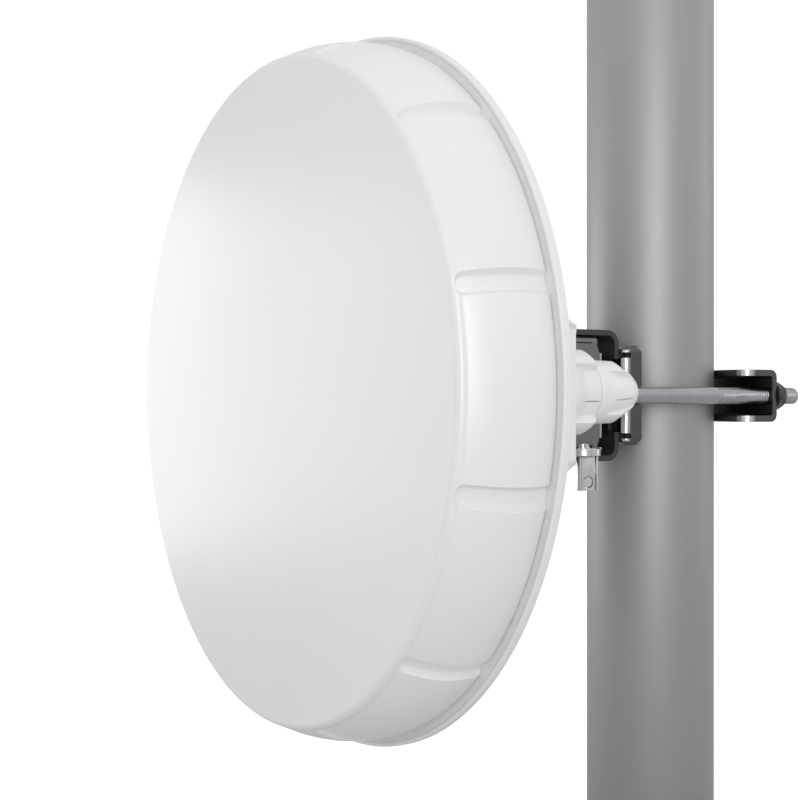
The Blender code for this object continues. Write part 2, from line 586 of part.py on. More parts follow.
def make_housing():
    half = HOUSING_HALF_HEIGHT
    cham = HOUSING_CHAMFER
    back = HOUSING_BACK_Y
    outline = [(-0.1800, half), (back - cham, half), (back, half - cham), (back, -half + cham),
               (back - cham, -half), (-0.1800, -half)]
    outline = [(y, BRACKET_Z + z) for y, z in outline]
    housing = put(slab(outline, "X", -HOUSING_HALF_WIDTH, HOUSING_HALF_WIDTH), "rear_housing",
                  WHITE_PLASTIC)
    bowl = bowl_back(TOUCH)
    solid = [(0.0, 0.020), (bowl[0][0] + 0.010, 0.020), (bowl[0][0] + 0.010, bowl[0][1])] + bowl
    boolean(housing, turned("bowl_form", solid, None, (0.0, RIM_Y, DISH_Z), CUTTERS), "DIFFERENCE")
    lug_front = back + TOUCH
    lug = put(box((-LUG_HALF_WIDTH, lug_front, BRACKET_Z - 0.0200),
                  (LUG_HALF_WIDTH, lug_front + 0.0040, BRACKET_Z + 0.0200)), "pivot_lug", GREY_STEEL)
    cheek = [(lug_front + 0.001, BRACKET_Z + 0.018)]
    cheek += arc((PIVOT_Y, BRACKET_Z), LUG_RADIUS, 90.0, -90.0, 8)
    cheek += [(lug_front + 0.001, BRACKET_Z - 0.018)]
    for side, word in ((1.0, "near"), (-1.0, "far")):
        inside, outside = sorted((side * (LUG_HALF_WIDTH - 0.0040), side * LUG_HALF_WIDTH))
        join(lug, slab(cheek, "X", inside, outside), "lug_cheek_" + word)
        join(lug, rod((side * (LUG_HALF_WIDTH - 0.001), PIVOT_Y, BRACKET_Z),
                      (side * (YOKE_HALF_WIDTH - INNER_SHEET - TOUCH), PIVOT_Y, BRACKET_Z), 0.0080),
             "lug_boss_" + word)
    cut(lug, rod((-0.06, PIVOT_Y, BRACKET_Z), (0.06, PIVOT_Y, BRACKET_Z), PIVOT_RADIUS + TOUCH), "lug_bore")
    for side, word in ((1.0, "near"), (-1.0, "far")):
        x = side * (HOUSING_HALF_WIDTH - 0.0030)
        z = BRACKET_Z - half - TOUCH
        put(rod((x, back - 0.0110, z - 0.0030), (x, back - 0.0110, z), 0.0026, sides=16),
            "housing_screw_" + word, BRIGHT_STEEL)


def make_gland():
    base_start = HOUSING_BACK_Y + TOUCH
    centre = (GLAND_X, 0.0, DISH_Z)
    bore = CABLE_RADIUS + 0.0012

    def ring(points):
        """Profile of a turned ring around the cable's bore, given as (radius, y) on the outside."""
        first, last = points[0][1], points[-1][1]
        return [(radius, -y) for radius, y in points] + [(bore, -last), (bore, -first)]

    base = [(GLAND_BASE_RADIUS - 0.0010, base_start), (GLAND_BASE_RADIUS, base_start + 0.0010),
            (GLAND_BASE_RADIUS, GLAND_BASE_END - 0.0094),
            (GLAND_BASE_RADIUS - 0.0016, GLAND_BASE_END - 0.0034),
            (GLAND_CAP_RADIUS, GLAND_BASE_END - TOUCH)]
    turned("gland_base", ring(base), WHITE_PLASTIC, centre, steps=36)
    cap = [(GLAND_CAP_RADIUS, GLAND_BASE_END), (GLAND_CAP_RADIUS - 0.0007, GLAND_STEP_END),
           (0.0133, GLAND_STEP_END + 0.0048), (0.0096, GLAND_TIP_Y - 0.0047),
           (0.0076, GLAND_TIP_Y - 0.0010), (0.0062, GLAND_TIP_Y)]
    turned("gland_cap", ring(cap), WHITE_PLASTIC, centre, steps=36)
    seal = bore - TOUCH
    seal_start = -(base_start + 0.0040)
    seal_end = -(GLAND_TIP_Y - 0.0012)
    turned("cable_seal", [(0.0, seal_start), (seal, seal_start), (seal, seal_end), (0.0, seal_end)],
           BLACK_RUBBER, centre, steps=24)


make_pole()
make_saddle()
make_back_clamp()
make_long_bolts()
make_yoke()
make_inner_bracket()
make_bracket_fasteners()
make_adjuster()
make_radome()
make_reflector()
make_housing()
make_gland()
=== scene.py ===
"""Finished look of a radome-covered dish antenna and its pole clamp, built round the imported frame.

One operator makes each piece or group of like pieces, and one more sets the stage. Lengths are in
metres. The pole's axis is world Z, the dish faces -Y and the cable gland is on the +X side.
"""
import math

import bmesh
import bpy
from bpy.props import FloatProperty, FloatVectorProperty, IntProperty, PointerProperty
from bpy.types import Operator, Panel, PropertyGroup
from mathutils import Matrix, Vector


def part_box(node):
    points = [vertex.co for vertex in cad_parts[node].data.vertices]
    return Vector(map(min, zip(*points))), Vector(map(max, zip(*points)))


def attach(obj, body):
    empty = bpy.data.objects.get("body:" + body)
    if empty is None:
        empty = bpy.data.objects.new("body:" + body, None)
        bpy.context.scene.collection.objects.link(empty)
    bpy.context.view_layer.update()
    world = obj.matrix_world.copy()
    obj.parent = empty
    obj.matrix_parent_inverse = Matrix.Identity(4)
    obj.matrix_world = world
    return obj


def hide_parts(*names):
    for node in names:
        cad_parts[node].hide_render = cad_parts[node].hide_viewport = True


bl_info = {
    "name": "Dish Antenna Finish",
    "version": (1, 0, 0),
    "blender": (4, 5, 0),
    "location": "View3D > Sidebar > Dish",
    "description": "Builds the finished pieces of a dish antenna round its packed frame",
    "category": "Object",
}

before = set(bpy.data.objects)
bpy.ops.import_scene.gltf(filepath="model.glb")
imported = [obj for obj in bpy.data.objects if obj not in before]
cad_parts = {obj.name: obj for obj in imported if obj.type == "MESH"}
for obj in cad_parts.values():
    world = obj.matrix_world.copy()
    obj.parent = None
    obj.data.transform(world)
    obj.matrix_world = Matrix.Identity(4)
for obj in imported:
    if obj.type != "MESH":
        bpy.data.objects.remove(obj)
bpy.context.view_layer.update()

STAND = "pole_stand"
CLAMP = "clamp_head"
DISH = "dish_head"
TINY = 0.0000015            # vertices closer than this are merged
GAP = 0.0003                # room between pieces that touch
VEE = math.radians(30.0)    # slope of the notches that grip the pole
PIVOT_Y = -0.1080           # Y of the tilt axis
BOLT_HOLE = 0.0043          # radius of the holes for the tilt bolt and the tie bolts
SIDES = (-1.0, 1.0)


# Sizes and colours that a user may change
def length(name, description, default):
    return FloatProperty(name=name, description=description, default=default, unit="LENGTH")


def colour(name, description, default):
    return FloatVectorProperty(name=name, description=description, default=default, size=3,
                               subtype="COLOR", min=0.0, max=1.0)


def shade(name, default):
    return colour(name + " shade", "Clouds in the colour " + name, default)


class PoleSizes(PropertyGroup):
    radius: length("Radius", "Outer radius of the pole", 0.03805)
    wall: length("Wall", "Wall thickness of the pole", 0.0032)
    foot: length("Foot", "Thickness of the closed foot", 0.006)


class ClampSizes(PropertyGroup):
    level: length("Level", "Height of the bracket's centre line", 0.2725)
    sheet: length("Sheet", "Thickness of the yoke and saddle", 0.0032)
    heavy_sheet: length("Heavy sheet", "Thickness of the back clamp", 0.0038)
    light_sheet: length("Light sheet", "Thickness of the inner bracket", 0.0025)
    bend: length("Yoke bend", "Outer radius of the yoke's bends", 0.0075)
    bolt_radius: length("Bolt radius", "Radius of the two long bolts", 0.0049)
    bolt_side: length("Bolt offset", "Distance of a long bolt from the pole's axis", 0.0440)
    pitch: length("Thread pitch", "Pitch of the long bolts' thread", 0.0015)
    thread_start: length("Thread start", "Where the thread begins along Y", 0.0125)
    edge: length("Edge", "Rounding of the sheet metal's cut edges", 0.00035)


class DishSizes(PropertyGroup):
    level: length("Level", "Height of the dish's axis", 0.2742)
    rim_y: length("Rim plane", "Y of the rim's rear plane", -0.2080)
    skirt_rear: length("Skirt rear", "Skirt's rear edge before the rim plane", 0.0033)
    skirt_front: length("Skirt front", "Face's edge before the rim plane", 0.0490)
    rear_radius: length("Skirt rear radius", "Radius of the skirt's rear edge", 0.1780)
    front_radius: length("Skirt front radius", "Radius of the skirt's front edge", 0.1709)
    bulge: length("Bulge", "How far the skirt bulges outwards", 0.0042)
    corner: length("Corner", "Radius between face and skirt", 0.0040)
    crown: length("Crown", "Height of the face's crown", 0.0100)
    wall: length("Wall", "Wall thickness of the radome", 0.0025)
    recesses: IntProperty(name="Recesses", description="Number of recesses round the skirt", default=12)
    recess_half: length("Recess half width", "Half the width of a recess", 0.0055)
    recess_depth: length("Recess depth", "Depth of a recess", 0.0035)
    recess_tip: length("Recess tip", "Front end of a recess before the rim plane", 0.0474)
    bowl_radius: length("Bowl radius", "Radius of the bowl's mouth", 0.1742)
    bowl_depth: length("Bowl depth", "Depth of the bowl", 0.0550)
    bowl_wall: length("Bowl wall", "Sheet thickness of the bowl", 0.0020)
    rim_radius: length("Rim radius", "Outer radius of the rim", 0.1840)
    rim_depth: length("Rim depth", "Depth of the rim's outer face", 0.0042)
    rim_land: length("Rim land", "Ring before the rim plane for the skirt", 0.00325)


class FinishColours(PropertyGroup):
    plastic: colour("Plastic", "Moulded white plastic of radome and housing", (0.86, 0.858, 0.850))
    plastic_dim: shade("Plastic", (0.845, 0.842, 0.832))
    paint: colour("Paint", "White powder coat of the dish", (0.84, 0.838, 0.830))
    paint_dim: shade("Paint", (0.82, 0.817, 0.807))
    pole: colour("Pole", "Grey satin coat of the pole", (0.43, 0.43, 0.43))
    pole_dim: shade("Pole", (0.415, 0.415, 0.417))
    yoke: colour("Yoke", "Dark coat of the yoke", (0.070, 0.070, 0.074))
    yoke_dim: shade("Yoke", (0.052, 0.052, 0.056))
    bracket: colour("Inner bracket", "Satin steel of inner bracket and lug", (0.24, 0.225, 0.24))
    bracket_dim: shade("Inner bracket", (0.20, 0.188, 0.20))
    saddle: colour("Saddle", "Warm dark steel of saddle and clamp", (0.100, 0.098, 0.094))
    saddle_dim: shade("Saddle", (0.078, 0.076, 0.073))
    bright: colour("Zinc", "Bright zinc plate of bolts and adjuster", (0.74, 0.745, 0.74))
    bright_dim: shade("Zinc", (0.66, 0.66, 0.665))
    bolt: colour("Bolt zinc", "Duller zinc plate of the long bolts", (0.46, 0.46, 0.48))
    bolt_dim: shade("Bolt zinc", (0.41, 0.41, 0.43))
    # painted highlight: near-white colour laid on the sheet steel's bends in place of the lamps' reflection
    painted_highlight: colour("Painted bend highlight", "Highlight painted on the bends of the sheet steel", (0.76, 0.76, 0.75))
    nut: colour("Nut", "Dark coat of the flange nuts", (0.030, 0.030, 0.032))
    nut_dim: shade("Nut", (0.055, 0.055, 0.058))
    rubber: colour("Rubber", "Black rubber of seal and pole plug", (0.022, 0.022, 0.023))
    rubber_dim: shade("Rubber", (0.05, 0.05, 0.05))


# Finishes
def fill(node, values):
    """Set a node's inputs by name."""
    for name, value in values.items():
        node.inputs[name].default_value = value
    return node


def add(tree, kind, values=(), **settings):
    """Add a shader node with its settings and the values of its inputs."""
    node = tree.nodes.new("ShaderNode" + kind)
    for name, value in settings.items():
        setattr(node, name, value)
    return fill(node, dict(values))


def wire(tree, *links):
    """Link nodes, each link given as (node, output, node, input)."""
    for source, output, target, taken in links:
        tree.links.new(source.outputs[output], target.inputs[taken])


def make_surface_group():
    """Node group with slow clouds and a fine grain in object space."""
    group = bpy.data.node_groups.new("surface_clouds", "ShaderNodeTree")
    for name, way, kind in (("Cloud Scale", "INPUT", "Float"), ("Grain Scale", "INPUT", "Float"),
                            ("Stretch", "INPUT", "Vector"), ("Cloud", "OUTPUT", "Float"),
                            ("Grain", "OUTPUT", "Float")):
        group.interface.new_socket(name=name, in_out=way, socket_type="NodeSocket" + kind)
    taken = group.nodes.new("NodeGroupInput")
    given = group.nodes.new("NodeGroupOutput")
    place = add(group, "TexCoord")
    mapping = add(group, "Mapping")
    cloud = add(group, "TexNoise", {"Detail": 3.0, "Roughness": 0.45})
    grain = add(group, "TexNoise", {"Detail": 2.0})
    spread = add(group, "MapRange", {"From Min": 0.20, "From Max": 0.80}, interpolation_type="SMOOTHSTEP")
    wire(group, (place, "Object", mapping, "Vector"), (taken, "Stretch", mapping, "Scale"),
         (mapping, "Vector", cloud, "Vector"), (taken, "Cloud Scale", cloud, "Scale"),
         (mapping, "Vector", grain, "Vector"), (taken, "Grain Scale", grain, "Scale"),
         (cloud, "Fac", spread, "Value"), (spread, "Result", given, "Cloud"), (grain, "Fac", given, "Grain"))


def finish(colours, name, tone, roughness, metallic, clouds, grain, bump, stretch=(1.0, 1.0, 1.0),
           coat=0.0, specular=0.5, rough_spread=0.06, highlight_colour=None):
    """A material whose colour, roughness and fine relief vary over the surface.

    Given a highlight colour, it paints that colour on as a highlight where a piece's mask marks one.
    """
    made = bpy.data.materials.new("finish_" + name)
    made.use_nodes = True
    tree = made.node_tree
    shader = fill(tree.nodes["Principled BSDF"], {
        "Metallic": metallic, "Specular IOR Level": specular, "Coat Weight": coat, "Coat Roughness": 0.25})
    surface = add(tree, "Group", {"Cloud Scale": clouds, "Grain Scale": grain, "Stretch": stretch},
                  node_tree=bpy.data.node_groups["surface_clouds"])
    clear, dim = getattr(colours, tone), getattr(colours, tone + "_dim")
    mix = add(tree, "Mix", {"A": (*clear, 1.0), "B": (*dim, 1.0)}, data_type="RGBA")
    rough = add(tree, "MapRange", {"To Min": roughness - rough_spread, "To Max": roughness + rough_spread})
    relief = add(tree, "Bump", {"Strength": 1.0, "Distance": bump})
    wire(tree, (surface, "Cloud", mix, "Factor"), (mix, "Result", shader, "Base Color"),
         (surface, "Cloud", rough, "Value"), (rough, "Result", shader, "Roughness"),
         (surface, "Grain", relief, "Height"), (relief, "Normal", shader, "Normal"))
    # painted highlight: mix the highlight colour over the base colour where the piece's mask marks it
    if highlight_colour is not None:
        highlight_mask = add(tree, "Attribute", attribute_name="painted_highlight")
        shown = add(tree, "Mix", {"B": (*highlight_colour, 1.0)}, data_type="RGBA")
        wire(tree, (highlight_mask, "Fac", shown, "Factor"), (mix, "Result", shown, "A"),
             (shown, "Result", shader, "Base Color"))


class DISH_OT_finishes(Operator):
    """Make the materials of all pieces"""
    bl_idname = "dish.finishes"
    bl_label = "Finishes"

    def execute(self, context):
        c = context.scene.dish_colours
        make_surface_group()
        # the numbers are roughness, metallic, the clouds' and the grain's scale and the relief's depth
        finish(c, "white_plastic", "plastic", 0.30, 0.0, 9.0, 1500.0, 0.000004, specular=0.7,
               rough_spread=0.015)
        finish(c, "white_paint", "paint", 0.38, 0.0, 9.0, 700.0, 0.00003)
        finish(c, "galvanized_pole", "pole", 0.53, 0.85, 22.0, 1200.0, 0.000006,
               stretch=(1.0, 1.0, 0.35), rough_spread=0.03)
        finish(c, "dark_steel", "yoke", 0.44, 0.6, 60.0, 1600.0, 0.000020)
        # grey and bronze steel get a painted highlight on their bends
        finish(c, "grey_steel", "bracket", 0.30, 0.9, 70.0, 1400.0, 0.000008,
               stretch=(1.0, 1.0, 0.15), highlight_colour=c.painted_highlight)
        finish(c, "bronze_steel", "saddle", 0.26, 1.0, 80.0, 1200.0, 0.000001,
               stretch=(1.0, 1.0, 0.15), coat=0.8, highlight_colour=c.painted_highlight)
        finish(c, "bolt_steel", "bolt", 0.26, 1.0, 90.0, 1800.0, 0.000002)
        finish(c, "bright_steel", "bright", 0.24, 1.0, 90.0, 1800.0, 0.000002)
        finish(c, "dark_nut", "nut", 0.38, 0.8, 160.0, 1800.0, 0.000015)
        finish(c, "black_rubber", "rubber", 0.60, 0.0, 60.0, 1500.0, 0.000030)
        return {"FINISHED"}


# Mesh tools
SHEET_SLOTS = ("bronze_steel", "grey_steel", "dark_steel")    # large flat faces next to small bends


def new_object(name, bm):
    """Put a bmesh into the scene as an object."""
    mesh = bpy.data.meshes.new(name)
    bm.to_mesh(mesh)
    bm.free()
    made = bpy.data.objects.new(name, mesh)
    bpy.context.scene.collection.objects.link(made)
    return made


def piece(name, bm, slot, body, nodes, smooth=35.0, look=None):
    """Make a bmesh a finished piece that rides on a body and stands for CAD nodes."""
    bmesh.ops.remove_doubles(bm, verts=bm.verts, dist=TINY)
    bmesh.ops.dissolve_degenerate(bm, edges=bm.edges, dist=TINY)
    bmesh.ops.recalc_face_normals(bm, faces=bm.faces)
    made = new_object(name, bm)
    made.data.shade_smooth()
    made.data.set_sharp_from_angle(angle=math.radians(smooth))
    made.data.materials.append(bpy.data.materials["finish_" + (look or slot)])
    if slot in SHEET_SLOTS:
        made.modifiers.new("flat_sheet", "WEIGHTED_NORMAL").keep_sharp = True
    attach(made, body)
    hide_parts(*nodes)
    return made


def paint_highlight(made, share):
    """Mark how strongly a painted highlight lies on the upright faces of a piece, from 0 to 1."""
    mesh = made.data
    layer = mesh.attributes.new("painted_highlight", "FLOAT", "CORNER")
    for face in mesh.polygons:
        if abs(face.normal.z) < 0.5:
            for i in face.loop_indices:
                highlight_share = share(mesh.vertices[mesh.loops[i].vertex_index].co)
                layer.data[i].value = min(max(highlight_share, 0.0), 1.0)


def bend_highlight_share(across, along_it):
    """How strong the painted highlight is at a point of a bend, from its distances past the bend's two ends;
    strongest halfway round it.
    """
    if across <= 0.0 or along_it <= 0.0:
        return 0.0
    return 1.4 * math.sin(2.0 * math.atan2(along_it, across))


def lathe(profile, base, axis, steps, closed=False):
    """Spin a profile of (radius, distance along the axis) about a line through base."""
    bm = bmesh.new()
    axis = Vector(axis).normalized()
    side = Vector((0.0, 0.0, 1.0)) if abs(axis.z) < 0.5 else Vector((1.0, 0.0, 0.0))
    base = Vector(base)
    verts = [bm.verts.new(base + axis * along + side * radius) for radius, along in profile]
    edges = [bm.edges.new(pair) for pair in zip(verts, verts[1:])]
    if closed:
        edges.append(bm.edges.new((verts[-1], verts[0])))
    bmesh.ops.spin(bm, geom=verts + edges, cent=base, axis=axis, angle=math.tau, steps=steps,
                   use_merge=True)
    bmesh.ops.remove_doubles(bm, verts=bm.verts, dist=TINY)
    bmesh.ops.recalc_face_normals(bm, faces=bm.faces)
    return bm


def block(low, high):
    bm = bmesh.new()
    bmesh.ops.create_cube(bm, size=1.0)
    size = Vector(high) - Vector(low)
    bmesh.ops.scale(bm, vec=size, verts=bm.verts)
    bmesh.ops.translate(bm, vec=Vector(low) + size / 2.0, verts=bm.verts)
    return bm


def rod(start, end, radius, sides=32, end_radius=None):
    bm = bmesh.new()
    start, end = Vector(start), Vector(end)
    bmesh.ops.create_cone(bm, cap_ends=True, segments=sides, radius1=radius,
                          radius2=radius if end_radius is None else end_radius,
                          depth=(end - start).length)
    turn = (end - start).to_track_quat("Z", "Y").to_matrix().to_4x4()
    bmesh.ops.transform(bm, matrix=Matrix.Translation((start + end) / 2.0) @ turn, verts=bm.verts)
    return bm


def extruded(bm, faces):
    """Extrude faces by no distance and return the new vertices."""
    grown = bmesh.ops.extrude_face_region(bm, geom=faces)
    return [v for v in grown["geom"] if isinstance(v, bmesh.types.BMVert)]


def plate(outline, axis, low, high):
    """Extrude a flat outline: axis 'X' takes (y, z), 'Y' takes (x, z) and 'Z' takes (x, y) points."""
    bm = bmesh.new()
    order = {"X": (2, 0, 1), "Y": (0, 2, 1), "Z": (0, 1, 2)}[axis]
    verts = []
    for point in outline:
        parts = (*point, low)
        verts.append(bm.verts.new([parts[i] for i in order]))
    step = Vector([(0.0, 0.0, high - low)[i] for i in order])
    bmesh.ops.translate(bm, vec=step, verts=extruded(bm, [bm.faces.new(verts)]))
    bmesh.ops.recalc_face_normals(bm, faces=bm.faces)
    return bm


def round_edges(bm, chosen, radius, segments=6):
    """Bevel the edges that the test picks."""
    edges = [edge for edge in bm.edges if chosen(edge)]
    bmesh.ops.bevel(bm, geom=edges, offset=radius, offset_type="OFFSET", segments=segments,
                    profile=0.5, affect="EDGES", material=-1, clamp_overlap=False)
    return bm


def along_x(*places):
    """Test for edges that run along X through one of the (y, z) places."""
    def chosen(edge):
        return any(all(abs(v.co.y - y) < 1e-5 and abs(v.co.z - z) < 1e-5 for v in edge.verts)
                   for y, z in places)
    return chosen


def channel(half_long, front, back, low, high, sheet, outer, inner):
    """Channel along X, open in front, with its bends given as (radius, segments)."""
    outline = [(front, high), (back, high), (back, low), (front, low), (front, low + sheet),
               (back - sheet, low + sheet), (back - sheet, high - sheet), (front, high - sheet)]
    bm = plate(outline, "X", -half_long, half_long)
    round_edges(bm, along_x((back, high), (back, low)), *outer)
    return round_edges(bm, along_x((back - sheet, high - sheet), (back - sheet, low + sheet)), *inner)


def soften(bm, width, segments=2, angle=35.0):
    """Round all sharp edges a little, as cut and tumbled metal is."""
    bmesh.ops.remove_doubles(bm, verts=bm.verts, dist=TINY)
    bmesh.ops.dissolve_limit(bm, angle_limit=math.radians(0.5), verts=bm.verts, edges=bm.edges)
    limit = math.radians(angle)
    return round_edges(bm, lambda edge: edge.is_manifold and edge.calc_face_angle(0.0) > limit,
                       width, segments)


def split(bm, place, *normals):
    """Split faces along planes through a hole, so that no face runs all the way round it."""
    for normal in normals:
        geometry = bm.verts[:] + bm.edges[:] + bm.faces[:]
        bmesh.ops.bisect_plane(bm, geom=geometry, dist=TINY, plane_co=place, plane_no=normal)
    return bm


def carve(bm, tools, operation="DIFFERENCE"):
    """Cut bmeshes from a bmesh, or join them to it."""
    body = new_object("scratch", bm)
    cutters = [new_object("scratch", tool) for tool in tools]
    for cutter in cutters:
        step = body.modifiers.new("carve", "BOOLEAN")
        step.operation = operation
        step.solver = "EXACT"
        step.object = cutter
    result = bmesh.new()
    result.from_object(body, bpy.context.evaluated_depsgraph_get())
    for old in [body] + cutters:
        mesh = old.data
        bpy.data.objects.remove(old)
        bpy.data.meshes.remove(mesh)
    return result


def middle(name):
    """Middle of a CAD node's box."""
    return [(low + high) / 2.0 for low, high in zip(*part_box(name))]


def reach(side, near, far=0.060):
    """X range on one side of the middle, its lower end first."""
    return sorted((side * near, side * far))


def arc(centre, radius, start, end, count):
    points = []
    for i in range(count + 1):
        angle = math.radians(start + (end - start) * i / count)
        points.append((centre[0] + radius * math.cos(angle), centre[1] + radius * math.sin(angle)))
    return points


def smoothstep(value):
    value = min(max(value, 0.0), 1.0)
    return value * value * (3.0 - 2.0 * value)


def threaded_rod(base, axis, length, radius, pitch, start, steps=40):
    """A rod with a helical thread from start to its chamfered end."""
    depth, rings_per_turn = pitch * 0.42, 6
    rows = [(0.0, 0.0), (radius - 0.0006, 0.0), (radius, 0.0006), (radius, start - pitch)]
    count = int((length - start) / pitch * rings_per_turn)
    rows += [(radius, start + (length - start - 0.0002) * i / count) for i in range(count + 1)]
    rows += [(radius - depth, length), (0.0, length)]
    bm = lathe(rows, base, axis, steps)
    base, axis = Vector(base), Vector(axis)
    for vert in bm.verts:
        rise = (vert.co - base).dot(axis)
        centre = base + axis * rise
        arm = vert.co - centre
        if arm.length < radius * 0.7 or rise < start - pitch * 0.5:
            continue
        angle = math.atan2(arm.z, arm.x) if abs(axis.y) > 0.5 else math.atan2(arm.y, arm.z)
        phase = (rise / pitch - angle / math.tau) % 1.0
        groove = depth * min(1.0, max(0.0, 1.6 - abs(phase - 0.5) * 4.4)) * 0.9
        fade = smoothstep((rise - start + pitch * 0.5) / (pitch * 2.0))
        chamfer = max(0.0, rise - (length - 0.0012)) * 0.8
        vert.co = centre + arm.normalized() * (radius - groove * fade - chamfer)
    return bm


def hex_head(start, end, flats, chamfer, both=False):
    """A hexagon whose corners are turned down to a cone at its outer end."""
    start, end = Vector(start), Vector(end)
    axis = (end - start).normalized()
    height = (end - start).length
    prism = rod(start, end, flats / math.sqrt(3.0), sides=6)
    corner = flats / math.sqrt(3.0)
    rows = [(0.0, -0.001), (corner * 1.2, -0.001), (corner * 1.2, height - chamfer * 1.6),
            (flats / 2.0 - 0.0002, height), (0.0, height)]
    if both:
        rows[0:2] = [(0.0, 0.0), (flats / 2.0 - 0.0002, 0.0), (corner * 1.2, chamfer * 1.6)]
    return carve(prism, [lathe(rows, start, axis, 64)], "INTERSECT")


# Pole
class DISH_OT_pole(Operator):
    """Make the pole and the plug in its top"""
    bl_idname = "dish.pole"
    bl_label = "Pole"

    def execute(self, context):
        s = context.scene.dish_pole
        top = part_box("pole")[1].z
        inner = s.radius - s.wall
        rows = [(0.0, 0.0), (s.radius - 0.0006, 0.0), (s.radius - 0.0002, 0.0002), (s.radius, 0.0006),
                (s.radius, top - 0.0010), (s.radius - 0.0003, top - 0.0003), (s.radius - 0.0010, top),
                (inner + 0.0006, top), (inner, top - 0.0006), (inner, s.foot), (0.0, s.foot)]
        piece("pole_tube", lathe(rows, (0, 0, 0), (0, 0, 1), 160), "galvanized_pole", STAND, ["pole"])
        low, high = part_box("pole_cap")
        flange, plug = top + GAP, inner - GAP
        rows = [(0.0, high.z), (s.radius * 0.45, high.z - 0.0001), (s.radius - 0.0040, high.z - 0.0005)]
        rows += arc((s.radius - 0.0018, high.z - 0.0023), 0.0018, 90.0, 0.0, 5)
        rows += [(s.radius, flange + 0.0003), (s.radius - 0.0003, flange), (plug, flange),
                 (plug, low.z + 0.0015), (inner - 0.0012, low.z), (0.0, low.z)]
        piece("pole_plug", lathe(rows, (0, 0, 0), (0, 0, 1), 128), "black_rubber", STAND, ["pole_cap"])
        return {"FINISHED"}


# Pole clamp
def vee_apex(context):
    """Distance from the pole's axis to the point of a notch."""
    return context.scene.dish_pole.radius / math.cos(VEE) + 0.00036


class DISH_OT_saddle(Operator):
    """Make the pressed box with V notches in front of the pole"""
    bl_idname = "dish.saddle"
    bl_label = "Pole saddle"

    def execute(self, context):
        s = context.scene.dish_clamp
        low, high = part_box("pole_saddle")
        wide, front, back, bend = high.x, low.y, -0.0467, 0.0045

        def shell(by, radius):
            box = block((-wide + by, front + by, low.z + by), (wide - by, 0.02, high.z - by))
            return round_edges(box, lambda edge: min(v.co.y for v in edge.verts) < 0.0, radius)
        apex, tip_x, side, corner = vee_apex(context), 0.0225, wide - s.sheet, 0.0045
        half = [(tip_x, math.tan(VEE) * tip_x - apex), (side, back - corner), (side, back), (0.06, back),
                (0.06, 0.04)]
        vee = [(-x, y) for x, y in half[-2::-1]] + [(0.0, -apex)] + half + [(-0.06, 0.04)]
        tools = [shell(s.sheet, bend - s.sheet), plate(vee, "Z", low.z - 0.01, high.z + 0.01)]
        bottom = arc((back - corner, low.z + corner), corner, -90.0, 0.0, 10)
        bottom = [(back - corner, low.z - 0.01), *bottom, (0.0, low.z + corner), (0.0, low.z - 0.01)]
        top = [(y, 2.0 * s.level - z) for y, z in bottom]
        hole = s.bolt_radius + GAP
        for sign in SIDES:
            span = reach(sign, wide - bend - 0.0003)
            tools += [plate(top, "X", *span), plate(bottom, "X", *span)]
            near, far = reach(sign, s.bolt_side - hole)
            tools.append(block((near, front - 0.01, s.level - hole), (far, 0.0, s.level + hole)))
            near, far = reach(sign, wide - 0.0060)
            for z in (s.level + 0.0212, s.level - 0.0241):
                tools.append(block((near, front - 0.01, z), (far, front + 0.0046, z + 0.0029)))
        bm = soften(carve(shell(0.0, bend), tools), s.edge)
        made = piece("saddle_bracket", bm, "bronze_steel", CLAMP, ["pole_saddle"])
        # painted highlight on the saddle's front bends
        paint_highlight(made, lambda co: bend_highlight_share(abs(co.x) - wide + bend, front + bend - co.y))
        return {"FINISHED"}


class DISH_OT_back_clamp(Operator):
    """Make the notched channel behind the pole"""
    bl_idname = "dish.back_clamp"
    bl_label = "Back clamp"

    def execute(self, context):
        s = context.scene.dish_clamp
        low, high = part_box("back_clamp")
        back, edge_y, long = high.y, low.y, high.x
        bm = channel(long, 0.0, back, low.z, high.z, s.heavy_sheet, (0.0044, 6), (0.0012, 3))
        apex = vee_apex(context)
        tip_x = (apex - edge_y) / math.tan(VEE)
        corner = 0.0080
        right = [(tip_x, edge_y), *arc((long - corner, edge_y + corner), corner, -90.0, 0.0, 12),
                 (0.07, edge_y + corner), (0.07, -0.02)]
        vee = [(-x, y) for x, y in right[-2::-1]] + [(0.0, apex)] + right + [(-0.07, -0.02)]
        tools = [plate(vee, "Z", low.z - 0.01, high.z + 0.01)]
        for sign in SIDES:
            x = sign * s.bolt_side
            tools.append(rod((x, back - 0.02, s.level), (x, back + 0.01, s.level), s.bolt_radius + GAP))
        bm = soften(carve(bm, tools), s.edge)
        made = piece("clamp_channel", bm, "bronze_steel", CLAMP, ["back_clamp"])
        # painted highlight on the rounded corners of the clamp's flanges
        paint_highlight(made, lambda co: bend_highlight_share(abs(co.x) - long + corner, edge_y + corner - co.y))
        return {"FINISHED"}


